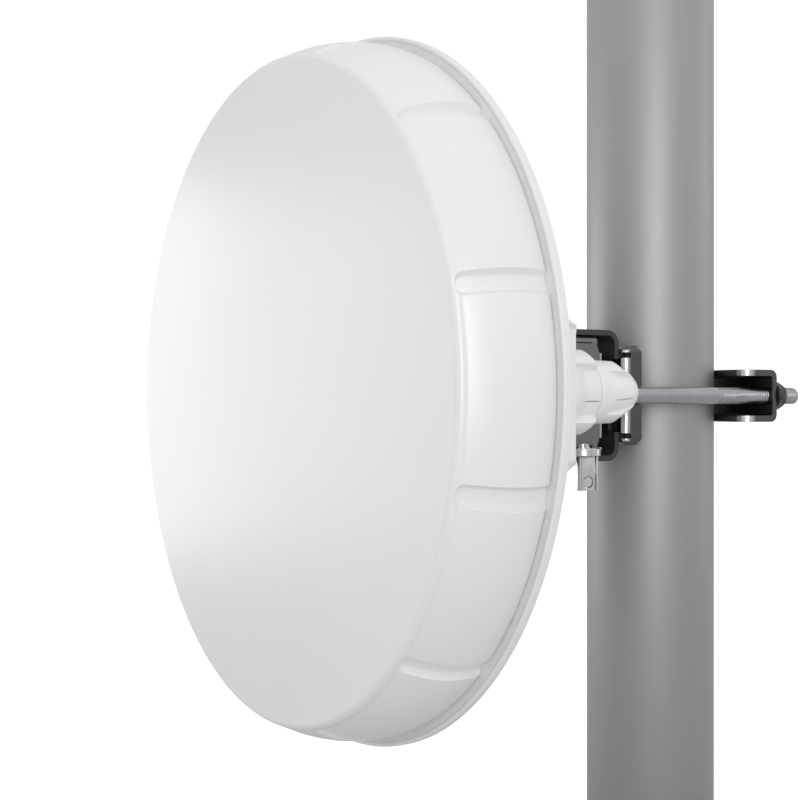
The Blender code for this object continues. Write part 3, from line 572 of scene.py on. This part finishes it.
class DISH_OT_long_bolts(Operator):
    """Make the two long threaded bolts and their flange nuts"""
    bl_idname = "dish.long_bolts"
    bl_label = "Long bolts"

    def execute(self, context):
        s = context.scene.dish_clamp
        for word in ("near", "far"):
            low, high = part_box("long_bolt_" + word)
            x = (low.x + high.x) / 2.0
            head = low.y + 0.0064
            shaft = threaded_rod((x, head - 0.001, s.level), (0, 1, 0), high.y - head + 0.001,
                                 s.bolt_radius, s.pitch, s.thread_start - head)
            cap = hex_head((x, head, s.level), (x, low.y, s.level), 0.0135, 0.0012)
            piece("clamp_bolt_" + word, carve(shaft, [cap], "UNION"), "bright_steel", CLAMP,
                  ["long_bolt_" + word], look="bolt_steel")
            low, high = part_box("flange_nut_" + word)
            foot = low.y
            flange = [(0.0, 0.0), (0.0097, 0.0), (0.0100, 0.0004), (0.0100, 0.0009), (0.0094, 0.0016),
                      (0.0078, 0.0030), (0.0, 0.0036)]
            washer = lathe(flange, (x, foot, s.level), (0, 1, 0), 64)
            nut = carve(hex_head((x, foot + 0.001, s.level), (x, high.y, s.level), 0.0150, 0.0011),
                        [washer], "UNION")
            bore = rod((x, foot - 0.01, s.level), (x, high.y + 0.01, s.level), s.bolt_radius + 0.00005)
            lead = rod((x, high.y - 0.0008, s.level), (x, high.y + 0.0004, s.level), s.bolt_radius,
                       end_radius=s.bolt_radius + 0.0012)
            nut = soften(carve(nut, [bore, lead]), 0.00018, 1, 40.0)
            piece("clamp_nut_" + word, nut, "dark_nut", CLAMP, ["flange_nut_" + word])
        return {"FINISHED"}


# Yoke, inner bracket and adjuster
def tie_holes(level, y, deep):
    """Cutters for the two tie bolts' holes in a sheet at y."""
    heights = (level + 0.012, level - 0.012)
    return [rod((0, y - deep, z), (0, y + deep, z), BOLT_HOLE) for z in heights]


class DISH_OT_yoke(Operator):
    """Make the bent yoke with its waist and its tab"""
    bl_idname = "dish.yoke"
    bl_label = "Yoke"

    def execute(self, context):
        s = context.scene.dish_clamp
        wide, half, back, front, t, z = 0.0410, 0.0366, -0.0597, -0.1120, s.sheet, s.level
        bm = channel(wide, front, back, z - half, z + half, t, (s.bend, 10), (s.bend - t, 8))
        tab_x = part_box("adjuster_clevis")[0].x - GAP
        tab_y = middle("adjuster_clevis")[1]
        tab = block((wide - 0.004, tab_y - 0.0053, z - half), (tab_x, tab_y + 0.0053, z - half + t))
        bm = carve(bm, [tab], "UNION")
        tools = []
        cut_x, cut_half, corner = 0.0353, 0.0204, 0.0020
        waist = [(0.06, cut_half)]
        waist += arc((cut_x + corner, cut_half - corner), corner, 90.0, 180.0, 6)
        waist += arc((cut_x + corner, corner - cut_half), corner, 180.0, 270.0, 6)
        waist += [(0.06, -cut_half)]
        for sign in SIDES:
            outline = [(sign * x, z + rise) for x, rise in waist]
            tools.append(plate(outline, "Y", back - t - 0.002, back + 0.002))
        tools += tie_holes(z, back, 0.02)
        stud_x = middle("adjuster_disc")[0]
        tools.append(rod((stud_x, tab_y, z - half - 0.01), (stud_x, tab_y, z - half + 0.01), 0.0027))
        bm = soften(carve(bm, tools), s.edge)
        split(bm, (stud_x, tab_y, z), (1, 0, 0), (0, 1, 0))
        piece("yoke_sheet", bm, "dark_steel", CLAMP, ["outer_yoke"])
        return {"FINISHED"}


class DISH_OT_inner_bracket(Operator):
    """Make the satin box bracket inside the yoke"""
    bl_idname = "dish.inner_bracket"
    bl_label = "Inner bracket"

    def execute(self, context):
        s = context.scene.dish_clamp
        low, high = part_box("inner_bracket")
        t, bend = s.light_sheet, 0.0035

        def shell(by, radius):
            box = block((low.x + by, low.y - 0.02, low.z + by), (high.x - by, high.y - by, high.z - by))
            return round_edges(box, lambda edge: max(v.co.y for v in edge.verts) > low.y, radius)
        tools = [shell(t, bend - t),
                 block((-0.07, low.y - 0.05, low.z - 0.01), (0.07, low.y, high.z + 0.01))]
        back = high.y
        for edge, sign, end in ((high.z, 1.0, 0.0050), (low.z, -1.0, 0.0007)):
            first, second = sorted((edge - sign * 0.0040, edge + sign * 0.01))
            tools.append(block((-0.07, low.y - 0.01, first), (0.07, PIVOT_Y, second)))
            corner = [(back - end, edge + sign * 0.01), (back - end, edge - sign * 0.0042),
                      (back - 0.0055, edge - sign * 0.0045), (back - 0.0035, edge - sign * 0.0095),
                      (back + 0.01, edge - sign * 0.0095), (back + 0.01, edge + sign * 0.01)]
            tools.append(plate(corner, "X", -0.07, 0.07))
        for sign in SIDES:
            near, far = reach(sign, high.x - 0.006, high.x + 0.01)
            tools.append(block((near, low.y - 0.01, high.z - 0.0042), (far, -0.0792, high.z - 0.0037)))
            tools.append(rod((near, PIVOT_Y, s.level), (far, PIVOT_Y, s.level), BOLT_HOLE))
        disc_low, disc_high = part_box("adjuster_disc")
        x, y, _ = middle("adjuster_disc")
        tools.append(rod((x, y, disc_low.z - 0.01), (x, y, disc_high.z + 0.0016),
                         (disc_high.x - disc_low.x) / 2.0 + 0.0008, 48))
        tools += tie_holes(s.level, back, 0.01)
        bm = soften(carve(shell(0.0, bend), tools), 0.00015)
        split(bm, (0.0, PIVOT_Y, s.level), (0, 1, 0), (0, 0, 1))
        made = piece("bracket_box", bm, "grey_steel", CLAMP, ["inner_bracket"])
        # painted highlight on the bracket's rear bends
        paint_highlight(made, lambda co: bend_highlight_share(abs(co.x) - high.x + bend, co.y - back + bend))
        return {"FINISHED"}


class DISH_OT_fasteners(Operator):
    """Make the tie bolts and the tilt bolt with its nut"""
    bl_idname = "dish.fasteners"
    bl_label = "Bracket bolts"

    def execute(self, context):
        s = context.scene.dish_clamp
        for word in ("upper", "lower"):
            low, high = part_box("tie_bolt_" + word)
            z = (low.z + high.z) / 2.0
            head = hex_head((0, low.y + 0.0042, z), (0, low.y, z), 0.0124, 0.0009)
            shaft = rod((0, low.y + 0.001, z), (0, high.y, z), 0.0040)
            spacer = rod((0, -0.0700, z), (0, -0.0632, z), 0.0070)
            piece("tie_screw_" + word, carve(head, [shaft, spacer], "UNION"), "bright_steel", CLAMP,
                  ["tie_bolt_" + word])
        low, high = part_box("elevation_bolt")
        y = (low.y + high.y) / 2.0
        seat = 0.0413
        head = hex_head((seat, y, s.level), (high.x, y, s.level), 0.0130, 0.0009)
        shaft = threaded_rod((seat + 0.001, y, s.level), (-1, 0, 0), seat + 0.001 - low.x, 0.0040, 0.00125,
                             0.0720, 32)
        piece("tilt_bolt", carve(shaft, [head], "UNION"), "bright_steel", CLAMP, ["elevation_bolt"])
        low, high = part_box("elevation_nut")
        nut = hex_head((high.x, y, s.level), (low.x, y, s.level), 0.0130, 0.0009, True)
        nut = carve(nut, [rod((high.x + 0.01, y, s.level), (low.x - 0.01, y, s.level), 0.00405)])
        piece("tilt_nut", nut, "bright_steel", CLAMP, ["elevation_nut"])
        return {"FINISHED"}


class DISH_OT_adjuster(Operator):
    """Make the fine adjuster: toothed wheel, stud, channel and pin"""
    bl_idname = "dish.adjuster"
    bl_label = "Fine adjuster"

    def execute(self, context):
        low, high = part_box("adjuster_disc")
        x, y, _ = middle("adjuster_disc")
        radius, height = (high.x - low.x) / 2.0, high.z - low.z
        rows = [(0.0027, 0.0), (radius - 0.0004, 0.0), (radius, 0.0004), (radius, height - 0.0005),
                (radius - 0.0005, height), (0.0027, height)]
        wheel = lathe(rows, (x, y, low.z), (0, 0, 1), 72, True)
        crown = lathe([(0.0027, 0.0), (0.0042, 0.0), (0.0039, 0.0024), (0.0027, 0.0024)],
                      (x, y, high.z - 0.0001), (0, 0, 1), 48, True)
        gaps = []
        for i in range(4):
            gap = block((-0.006, -0.00045, high.z + 0.0004), (0.006, 0.00045, high.z + 0.004))
            turn = Matrix.Translation((x, y, 0.0)) @ Matrix.Rotation(math.radians(20.0 + 45.0 * i), 4, "Z")
            bmesh.ops.transform(gap, matrix=turn, verts=gap.verts)
            gaps.append(gap)
        wheel = carve(wheel, [carve(crown, gaps)], "UNION")
        piece("adjuster_wheel", wheel, "bright_steel", CLAMP, ["adjuster_disc"])

        low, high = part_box("adjuster_stud")
        shaft = threaded_rod((x, y, low.z), (0, 0, 1), high.z - low.z, 0.0024, 0.0008, 0.0016, 24)
        nut = hex_head((x, y, low.z + 0.0037), (x, y, low.z + 0.0010), 0.0056, 0.0004, True)
        piece("adjuster_screw", carve(shaft, [nut], "UNION"), "bright_steel", CLAMP, ["adjuster_stud"])

        low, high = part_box("adjuster_clevis")
        pin_low, pin_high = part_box("adjuster_pin")
        pin_z = middle("adjuster_pin")[2]
        wide, lip, groove = (high.y - low.y) / 2.0, 0.0012, 0.0007
        back, face, web = low.x, high.x, high.x - 0.0006
        half = [(back, wide), (face, wide), (face, wide - lip), (back + 0.0009, wide - lip),
                (back + 0.0009, wide - lip - groove), (web, wide - lip - groove)]
        outline = [(x, y - rise) for x, rise in half] + [(x, y + rise) for x, rise in reversed(half)]
        clevis = plate(outline, "Z", low.z, high.z)
        clevis = carve(clevis, [rod((back - 0.004, y, pin_z), (face + 0.01, y, pin_z), 0.0035, 40)])
        piece("adjuster_fork", soften(clevis, 0.00018, 2), "bright_steel", CLAMP, ["adjuster_clevis"])

        length = pin_high.x - pin_low.x
        rows = [(0.0, 0.0), (0.0027, 0.0), (0.0030, 0.0003), (0.0030, length - 0.0004),
                (0.0026, length), (0.0, length)]
        piece("adjuster_rivet", lathe(rows, (pin_low.x, y, pin_z), (1, 0, 0), 40), "bright_steel", CLAMP,
              ["adjuster_pin"])
        return {"FINISHED"}


# Dish
def skirt_radius(s, forward):
    share = (forward - s.skirt_rear) / (s.skirt_front - s.corner - s.skirt_rear)
    share = min(max(share, 0.0), 1.0)
    straight = s.rear_radius + (s.front_radius - s.rear_radius) * share
    return straight + s.bulge * 4.0 * share * (1.0 - share)


def radome_rows(s, offset, face_rings, corner_rings, skirt_rings, lip):
    """Profile of the radome from its crown to the skirt's rear edge as (radius, forward) points."""
    edge = s.front_radius - s.corner
    rows = []
    for i in range(face_rings):
        share = i / face_rings
        rows.append((edge * share, s.skirt_front - offset + s.crown * (1.0 - share ** 2)))
    rows += arc((edge, s.skirt_front - s.corner), s.corner - offset if s.corner > offset else 0.0005,
                90.0, 0.0, corner_rings)
    start = s.skirt_front - s.corner
    rear = s.skirt_rear + lip
    for i in range(1, skirt_rings + 1):
        forward = start + (rear - start) * i / skirt_rings
        rows.append((skirt_radius(s, forward) - offset, forward))
    return rows


def recess_share(s, angle, forward, grow, soft):
    """How deep a point of the skirt lies in its nearest recess, from 0 outside to 1 on the floor."""
    pitch = math.tau / s.recesses
    from_centre = (angle / pitch) % 1.0 - 0.5
    across = abs(from_centre) * pitch * skirt_radius(s, forward)
    half = s.recess_half + grow
    start = s.recess_tip + grow - half
    if forward > start:
        inside = half - math.hypot(across, forward - start)
    else:
        inside = half - across
    return smoothstep(inside / soft)


class DISH_OT_radome(Operator):
    """Make the white radome with its soft recesses"""
    bl_idname = "dish.radome"
    bl_label = "Radome"

    def execute(self, context):
        s = context.scene.dish_sizes
        lip = 0.0015
        outer = radome_rows(s, 0.0, 22, 10, 62, lip)
        rear = skirt_radius(s, s.skirt_rear)
        rows = outer[:-1] + arc((rear - lip, s.skirt_rear + lip), lip, 0.0, -90.0, 5)
        inner = radome_rows(s, s.wall, 12, 3, 16, lip)[:-1]
        rows += [(rear - s.wall + 0.0004, s.skirt_rear), (rear - s.wall, s.skirt_rear + 0.0004)]
        rows += list(reversed(inner))
        steps = 36 * s.recesses
        centre = Vector((0.0, s.rim_y, s.level))
        bm = lathe(rows, centre, (0, -1, 0), steps)
        # the columns of vertices are drawn together at the recesses' edges
        pitch = math.tau / s.recesses
        edge, start = s.front_radius - s.corner, s.skirt_front - s.corner
        for vert in bm.verts:
            arm = vert.co - centre
            forward = -arm.y
            radius = math.hypot(arm.x, arm.z)
            if radius < 0.02:
                continue
            angle = math.atan2(arm.z, arm.x)
            share = (angle / pitch) % 1.0 - 0.5
            base_angle = angle - share * pitch
            moved = draw_in(abs(share) * 2.0) / 2.0
            angle = base_angle + math.copysign(moved, share) * pitch
            if radius > edge - 0.001:
                if forward > start:
                    inner_wall = math.hypot(radius - edge, forward - start) < s.corner - s.wall / 2.0
                else:
                    inner_wall = radius < skirt_radius(s, forward) - s.wall * 0.6
                grow = s.wall * 0.9 if inner_wall else 0.0
                depth = s.recess_depth * recess_share(s, angle, forward, grow, 0.0018)
                if inner_wall:
                    radius -= depth
                else:
                    depth *= 1.0 - 0.3 * smoothstep((0.012 - forward) / 0.009)
                    radius = min(radius, skirt_radius(s, forward) - depth)
            vert.co = centre + Vector((radius * math.cos(angle), -forward, radius * math.sin(angle)))
        piece("radome_shell", bm, "white_plastic", DISH, ["radome"], 50.0)
        return {"FINISHED"}


def draw_in(share):
    """Move a column, from 0 at a recess's middle to 1 between two, so that more lie at its edge."""
    points = ((0.0, 0.0), (0.20, 0.07), (0.70, 0.20), (0.80, 0.28), (1.0, 1.0))
    for (start, low), (end, high) in zip(points, points[1:]):
        if share <= end:
            return low + (high - low) * (share - start) / (end - start)
    return 1.0


def bowl_forward(s, radius):
    return -s.bowl_depth * (1.0 - (radius / s.bowl_radius) ** 2)


def bowl_back(s, radius, gap):
    """Point of the bowl's rear surface that lies behind the front surface at a radius."""
    slope = 2.0 * s.bowl_depth * radius / s.bowl_radius ** 2
    normal = math.hypot(1.0, slope)
    shift = s.bowl_wall + gap
    return radius + shift * slope / normal, bowl_forward(s, radius) - shift / normal


def bowl_back_at(s, distance, gap):
    """Forward position of the bowl's rear surface at a distance from the axis."""
    radius = distance
    for _ in range(6):
        reached = bowl_back(s, radius, gap)[0]
        radius += distance - reached
    return bowl_back(s, max(radius, 0.0), gap)[1]


class DISH_OT_bowl(Operator):
    """Make the parabolic bowl with its rolled rim"""
    bl_idname = "dish.bowl"
    bl_label = "Reflector"

    def execute(self, context):
        s = context.scene.dish_sizes
        rings = 26
        rows = [(s.bowl_radius * i / rings, bowl_forward(s, s.bowl_radius * i / rings))
                for i in range(rings)]
        rows += [(s.bowl_radius - 0.0008, s.rim_land - 0.0010), (s.bowl_radius, s.rim_land),
                 (s.rim_radius - 0.0030, s.rim_land)]
        rows += [(s.rim_radius - 0.0024, s.rim_land + 0.0002), (s.rim_radius - 0.0020, s.rim_depth - 0.0003)]
        rows += [(s.rim_radius - 0.0016, s.rim_depth), (s.rim_radius - 0.0010, s.rim_depth)]
        rows += arc((s.rim_radius - 0.0010, s.rim_depth - 0.0010), 0.0010, 80.0, 0.0, 4)
        rows += arc((s.rim_radius - 0.0007, 0.0007), 0.0007, 0.0, -90.0, 4)
        rows += [(s.bowl_radius + 0.0040, 0.0)]
        back = [bowl_back(s, s.bowl_radius * i / rings, 0.0) for i in range(rings, 0, -1)]
        rows += back + [(0.0, bowl_back(s, 0.0, 0.0)[1])]
        bm = lathe(rows, (0.0, s.rim_y, s.level), (0, -1, 0), 288)
        piece("dish_bowl", bm, "white_paint", DISH, ["reflector"], 40.0)
        return {"FINISHED"}


class DISH_OT_housing(Operator):
    """Make the white housing behind the bowl and its screws"""
    bl_idname = "dish.housing"
    bl_label = "Rear housing"

    def execute(self, context):
        s = context.scene.dish_sizes
        low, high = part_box("rear_housing")
        bm = bmesh.new()
        bmesh.ops.create_grid(bm, x_segments=40, y_segments=18, size=0.5)
        for vert in bm.verts:
            x = (vert.co.x + 0.5) * (high.x - low.x) + low.x
            z = (vert.co.y + 0.5) * (high.z - low.z) + low.z
            vert.co = Vector((x, s.rim_y - bowl_back_at(s, math.hypot(x, z - s.level), GAP), z))
        for vert in extruded(bm, list(bm.faces)):
            vert.co.y = high.y
        bmesh.ops.recalc_face_normals(bm, faces=bm.faces)

        def rear(edge):
            return all(abs(v.co.y - high.y) < 1e-6 for v in edge.verts)
        flat = [e for e in bm.edges if rear(e) and e.is_manifold and e.calc_face_angle(0.0) < 0.01]
        bmesh.ops.dissolve_edges(bm, edges=flat, use_verts=True)
        chamfer, limit = 0.0064, math.radians(30.0)
        round_edges(bm, lambda e: rear(e) and abs(e.verts[0].co.z - e.verts[1].co.z) < 1e-6, chamfer, 1)

        def outer_edge(edge):
            return (edge.is_manifold and edge.calc_face_angle(0.0) > limit
                    and max(v.co.y for v in edge.verts) > high.y - chamfer - 0.0002)
        round_edges(bm, outer_edge, 0.0010, 3)
        y, z = high.y - 0.0035, 0.2675
        bm = carve(bm, [rod((high.x - 0.0020, y, z), (high.x + 0.01, y, z), 0.0008, 16)])
        piece("back_box", bm, "white_plastic", DISH, ["rear_housing"])
        for word in ("near", "far"):
            low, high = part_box("housing_screw_" + word)
            x, y, _ = middle("housing_screw_" + word)
            height = high.z - low.z
            rows = [(0.0, 0.0), (0.0016, 0.0001), (0.0023, 0.0006), (0.0026, 0.0014), (0.0026, height),
                    (0.0, height)]
            head = lathe(rows, (x, y, low.z), (0, 0, 1), 32)
            start, end = low.z - 0.001, low.z + 0.0009
            cross = [block((x - wide, y - deep, start), (x + wide, y + deep, end))
                     for wide, deep in ((0.0014, 0.0003), (0.0003, 0.0014))]
            piece("box_screw_" + word, carve(head, cross), "bright_steel", DISH, ["housing_screw_" + word])
        return {"FINISHED"}


class DISH_OT_lug(Operator):
    """Make the lug that turns on the tilt bolt"""
    bl_idname = "dish.lug"
    bl_label = "Pivot lug"

    def execute(self, context):
        z = context.scene.dish_clamp.level
        low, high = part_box("pivot_lug")
        wide = 0.0360
        base = block((-wide, low.y, low.z), (wide, low.y + 0.0040, high.z))
        cheek = [(low.y + 0.001, z + 0.018), *arc((PIVOT_Y, z), 0.0120, 90.0, -90.0, 20),
                 (low.y + 0.001, z - 0.018)]
        joined = []
        for sign in SIDES:
            joined.append(plate(cheek, "X", *reach(sign, wide - 0.0040, wide)))
            joined.append(rod((sign * (wide - 0.001), PIVOT_Y, z), (sign * high.x, PIVOT_Y, z), 0.0080, 40))
        bm = carve(base, joined, "UNION")
        bm = soften(carve(bm, [rod((-0.06, PIVOT_Y, z), (0.06, PIVOT_Y, z), BOLT_HOLE)]), 0.00030)
        piece("tilt_lug", bm, "grey_steel", DISH, ["pivot_lug"])
        return {"FINISHED"}


# Cable gland
LANDS = (58.0, -62.0, 178.0)     # middles of the gland's raised grips, degrees up from the +X side
LAND_HALF = 18.0
SLIT_TURN = 76.5                 # turn of the three slits, degrees
SLIT_DEPTH = 0.0020
BORE = 0.0047


def land_share(angle):
    """1 on a raised grip of the gland, 0 between them."""
    share = 0.0
    for grip in LANDS:
        off = abs((angle - grip + 180.0) % 360.0 - 180.0)
        share = max(share, smoothstep((LAND_HALF - off) / 1.6 + 0.5))
    return share


def between(y, points):
    """Value at y of a line through (y, value) points."""
    for (start, low), (end, high) in zip(points, points[1:]):
        if y <= end:
            return low + (high - low) * max(y - start, 0.0) / (end - start)
    return points[-1][1]


def gland_stage(level, name, node, count, widest, body, land, slit):
    """A turned stage of the gland with three raised grips that stand out of its taper.

    The radii of body and grips and the share of the slits' depth are (y, value) points.
    """
    start, end = (corner.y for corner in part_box(node))
    centre = Vector((middle("gland_cap")[0], 0.0, level))
    rows = [(widest, start + (end - start) * i / count) for i in range(count + 1)]
    bm = lathe(rows + [(BORE, end), (BORE, start)], centre, (0, 1, 0), 240, True)
    for vert in bm.verts:
        arm = vert.co - centre
        y = arm.y
        arm.y = 0.0
        if arm.length < BORE + 0.0011:
            continue
        angle = math.degrees(math.atan2(arm.z, arm.x))
        plain = between(y, body)
        radius = plain + (max(between(y, land), plain) - plain) * land_share(angle)
        if abs((angle + SLIT_TURN) % 120.0 - 60.0) < 1.2:
            radius -= SLIT_DEPTH * between(y, slit)
        arm = arm.normalized() * min(radius, arm.length)
        vert.co = centre + arm + Vector((0.0, y, 0.0))
    piece(name, bm, "white_plastic", DISH, [node], 28.0)


class DISH_OT_gland(Operator):
    """Make the two-stage cable gland and its seal"""
    bl_idname = "dish.gland"
    bl_label = "Cable gland"

    def execute(self, context):
        level = context.scene.dish_sizes.level
        start, end = (corner.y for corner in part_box("gland_base"))
        body = ((start, 0.0220), (start + 0.0006, 0.0224), (-0.1320, 0.0224), (-0.1225, 0.0178),
                (end, 0.0173))
        land = ((start, 0.0222), (start + 0.0006, 0.0226), (-0.1170, 0.0226), (-0.1143, 0.0212),
                (end, 0.0173))
        slit = ((-0.1295, 0.0), (-0.1190, 1.0), (-0.1145, 1.0), (-0.1138, 0.0))
        gland_stage(level, "gland_collar", "gland_base", 26, 0.0226, body, land, slit)
        start, end = (corner.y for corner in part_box("gland_cap"))
        body = ((start, 0.0173), (-0.1065, 0.0171), (-0.0905, 0.0128), (-0.0838, 0.0104), (-0.0805, 0.0086),
                (-0.0791, 0.0072), (end, 0.0056))
        land = ((start, 0.0173), (-0.0952, 0.0168), (-0.0902, 0.0143), (-0.0838, 0.0112), (-0.0800, 0.0080),
                (end, 0.0056))
        slit = ((-0.1050, 0.0), (-0.0930, 1.0), (-0.0862, 1.0), (-0.0852, 0.0))
        gland_stage(level, "gland_nut", "gland_cap", 48, 0.0173, body, land, slit)
        low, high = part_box("cable_seal")
        x, _, z = middle("cable_seal")
        radius = (high.x - low.x) / 2.0
        rows = [(0.0, low.y), (radius, low.y), (radius, high.y - 0.0005), (radius - 0.0005, high.y),
                (0.0018, high.y), (0.0012, high.y - 0.0008), (0.0, high.y - 0.0010)]
        piece("gland_seal", lathe(rows, (x, 0.0, z), (0, 1, 0), 48), "black_rubber", DISH, ["cable_seal"])
        return {"FINISHED"}


# Stage
def area_light(name, place, target, size, size_y, power):
    light = bpy.data.lights.new(name, "AREA")
    light.shape = "RECTANGLE"
    light.size = size
    light.size_y = size_y
    light.energy = power
    lamp = bpy.data.objects.new(name, light)
    lamp.location = place
    lamp.rotation_euler = (Vector(target) - Vector(place)).to_track_quat("-Z", "Y").to_euler()
    bpy.context.scene.collection.objects.link(lamp)


def seen_or_lit(tree, seen, lit, output):
    """Show one shader to the camera and another to all other rays."""
    mix = add(tree, "MixShader")
    path = add(tree, "LightPath")
    wire(tree, (path, "Is Camera Ray", mix, "Fac"), (lit, 0, mix, 1), (seen, 0, mix, 2),
         (mix, "Shader", tree.nodes[output], "Surface"))


def floor_material():
    """Pale floor that reads white to the camera and throws back less light from below."""
    pale = bpy.data.materials.new("pale_floor")
    pale.use_nodes = True
    tree = pale.node_tree
    seen = fill(tree.nodes["Principled BSDF"], {
        "Base Color": (0.86, 0.86, 0.86, 1.0), "Roughness": 0.9,
        "Emission Color": (1.0, 1.0, 1.0, 1.0), "Emission Strength": 0.65})
    bounce = add(tree, "BsdfDiffuse", {"Color": (0.60, 0.60, 0.60, 1.0)})
    seen_or_lit(tree, seen, bounce, "Material Output")
    return pale


def studio_world():
    """White studio: plain white to the camera, brighter above than below for the light."""
    world = bpy.data.worlds.new("studio")
    world.use_nodes = True
    tree = world.node_tree
    lit = fill(tree.nodes["Background"], {"Strength": 1.0})
    plain = add(tree, "Background", {"Strength": 1.05, "Color": (1.0, 1.0, 1.0, 1.0)})
    place = add(tree, "TexCoord")
    parts = add(tree, "SeparateXYZ")
    height = add(tree, "MapRange", {"From Min": -1.0})
    ramp = add(tree, "ValToRGB")
    stops = ramp.color_ramp.elements
    stops.new(0.5)
    for stop, position, tone in zip(stops, (0.25, 0.5, 0.95), (0.28, 0.48, 0.90)):
        stop.position = position
        stop.color = (tone, tone, tone, 1.0)
    wire(tree, (place, "Generated", parts, "Vector"), (parts, "Z", height, "Value"),
         (height, "Result", ramp, "Fac"), (ramp, "Color", lit, "Color"))
    seen_or_lit(tree, plain, lit, "World Output")
    return world


class DISH_OT_stage(Operator):
    """Set up the floor, the lights, the world and the camera"""
    bl_idname = "dish.stage"
    bl_label = "Stage"

    def execute(self, context):
        scene = context.scene
        data = bpy.data.cameras.new("camera")
        data.lens = 64.11
        data.clip_start = 0.01
        data.clip_end = 100.0
        camera = bpy.data.objects.new("camera", data)
        camera.location = (0.6545, -0.5874, 0.270)
        camera.rotation_euler = Vector((-0.8484, 0.5293, 0.0)).to_track_quat("-Z", "Y").to_euler()
        scene.collection.objects.link(camera)
        scene.camera = camera
        scene.view_settings.view_transform = "Standard"
        scene.view_settings.look = "None"
        bm = bmesh.new()
        bmesh.ops.create_grid(bm, x_segments=1, y_segments=1, size=12.0)
        floor = new_object("floor", bm)
        floor.location = (0.0, 0.0, -0.0005)
        floor.data.materials.append(floor_material())
        scene.world = studio_world()
        area_light("key", (-1.15, -0.80, 0.30), (-0.05, -0.25, 0.26), 1.2, 0.70, 3.9)
        area_light("strip", (1.60, -0.97, 0.42), (0.1, -0.1, 0.30), 0.45, 1.6, 12.0)
        area_light("rear", (1.25, 1.05, 0.45), (0.0, 0.0, 0.30), 1.0, 1.6, 0.7)
        area_light("edge", (0.45, 1.60, 0.45), (0.0, 0.0, 0.30), 0.25, 1.6, 2.2)
        return {"FINISHED"}


STEPS = ("finishes", "pole", "saddle", "back_clamp", "long_bolts", "yoke", "inner_bracket", "fasteners",
         "adjuster", "radome", "bowl", "housing", "lug", "gland", "stage")
SETTINGS = {"dish_pole": PoleSizes, "dish_clamp": ClampSizes, "dish_sizes": DishSizes,
            "dish_colours": FinishColours}


class DISH_PT_panel(Panel):
    """Sidebar panel with one button for each group of pieces"""
    bl_idname = "DISH_PT_panel"
    bl_label = "Dish antenna"
    bl_space_type = "VIEW_3D"
    bl_region_type = "UI"
    bl_category = "Dish"

    def draw(self, context):
        for step in STEPS:
            self.layout.operator("dish." + step)
        for group in SETTINGS:
            settings = getattr(context.scene, group)
            box = self.layout.box()
            for name in settings.__annotations__:
                box.prop(settings, name)


CLASSES = (*SETTINGS.values(), DISH_OT_finishes, DISH_OT_pole, DISH_OT_saddle, DISH_OT_back_clamp,
           DISH_OT_long_bolts, DISH_OT_yoke, DISH_OT_inner_bracket, DISH_OT_fasteners, DISH_OT_adjuster,
           DISH_OT_radome, DISH_OT_bowl, DISH_OT_housing, DISH_OT_lug, DISH_OT_gland, DISH_OT_stage,
           DISH_PT_panel)


def register():
    for kind in CLASSES:
        bpy.utils.register_class(kind)
    for name, kind in SETTINGS.items():
        setattr(bpy.types.Scene, name, PointerProperty(type=kind))


def unregister():
    for name in SETTINGS:
        delattr(bpy.types.Scene, name)
    for kind in reversed(CLASSES):
        bpy.utils.unregister_class(kind)


def main():
    register()
    for step in STEPS:
        getattr(bpy.ops.dish, step)()


if __name__ == "__main__":
    main()
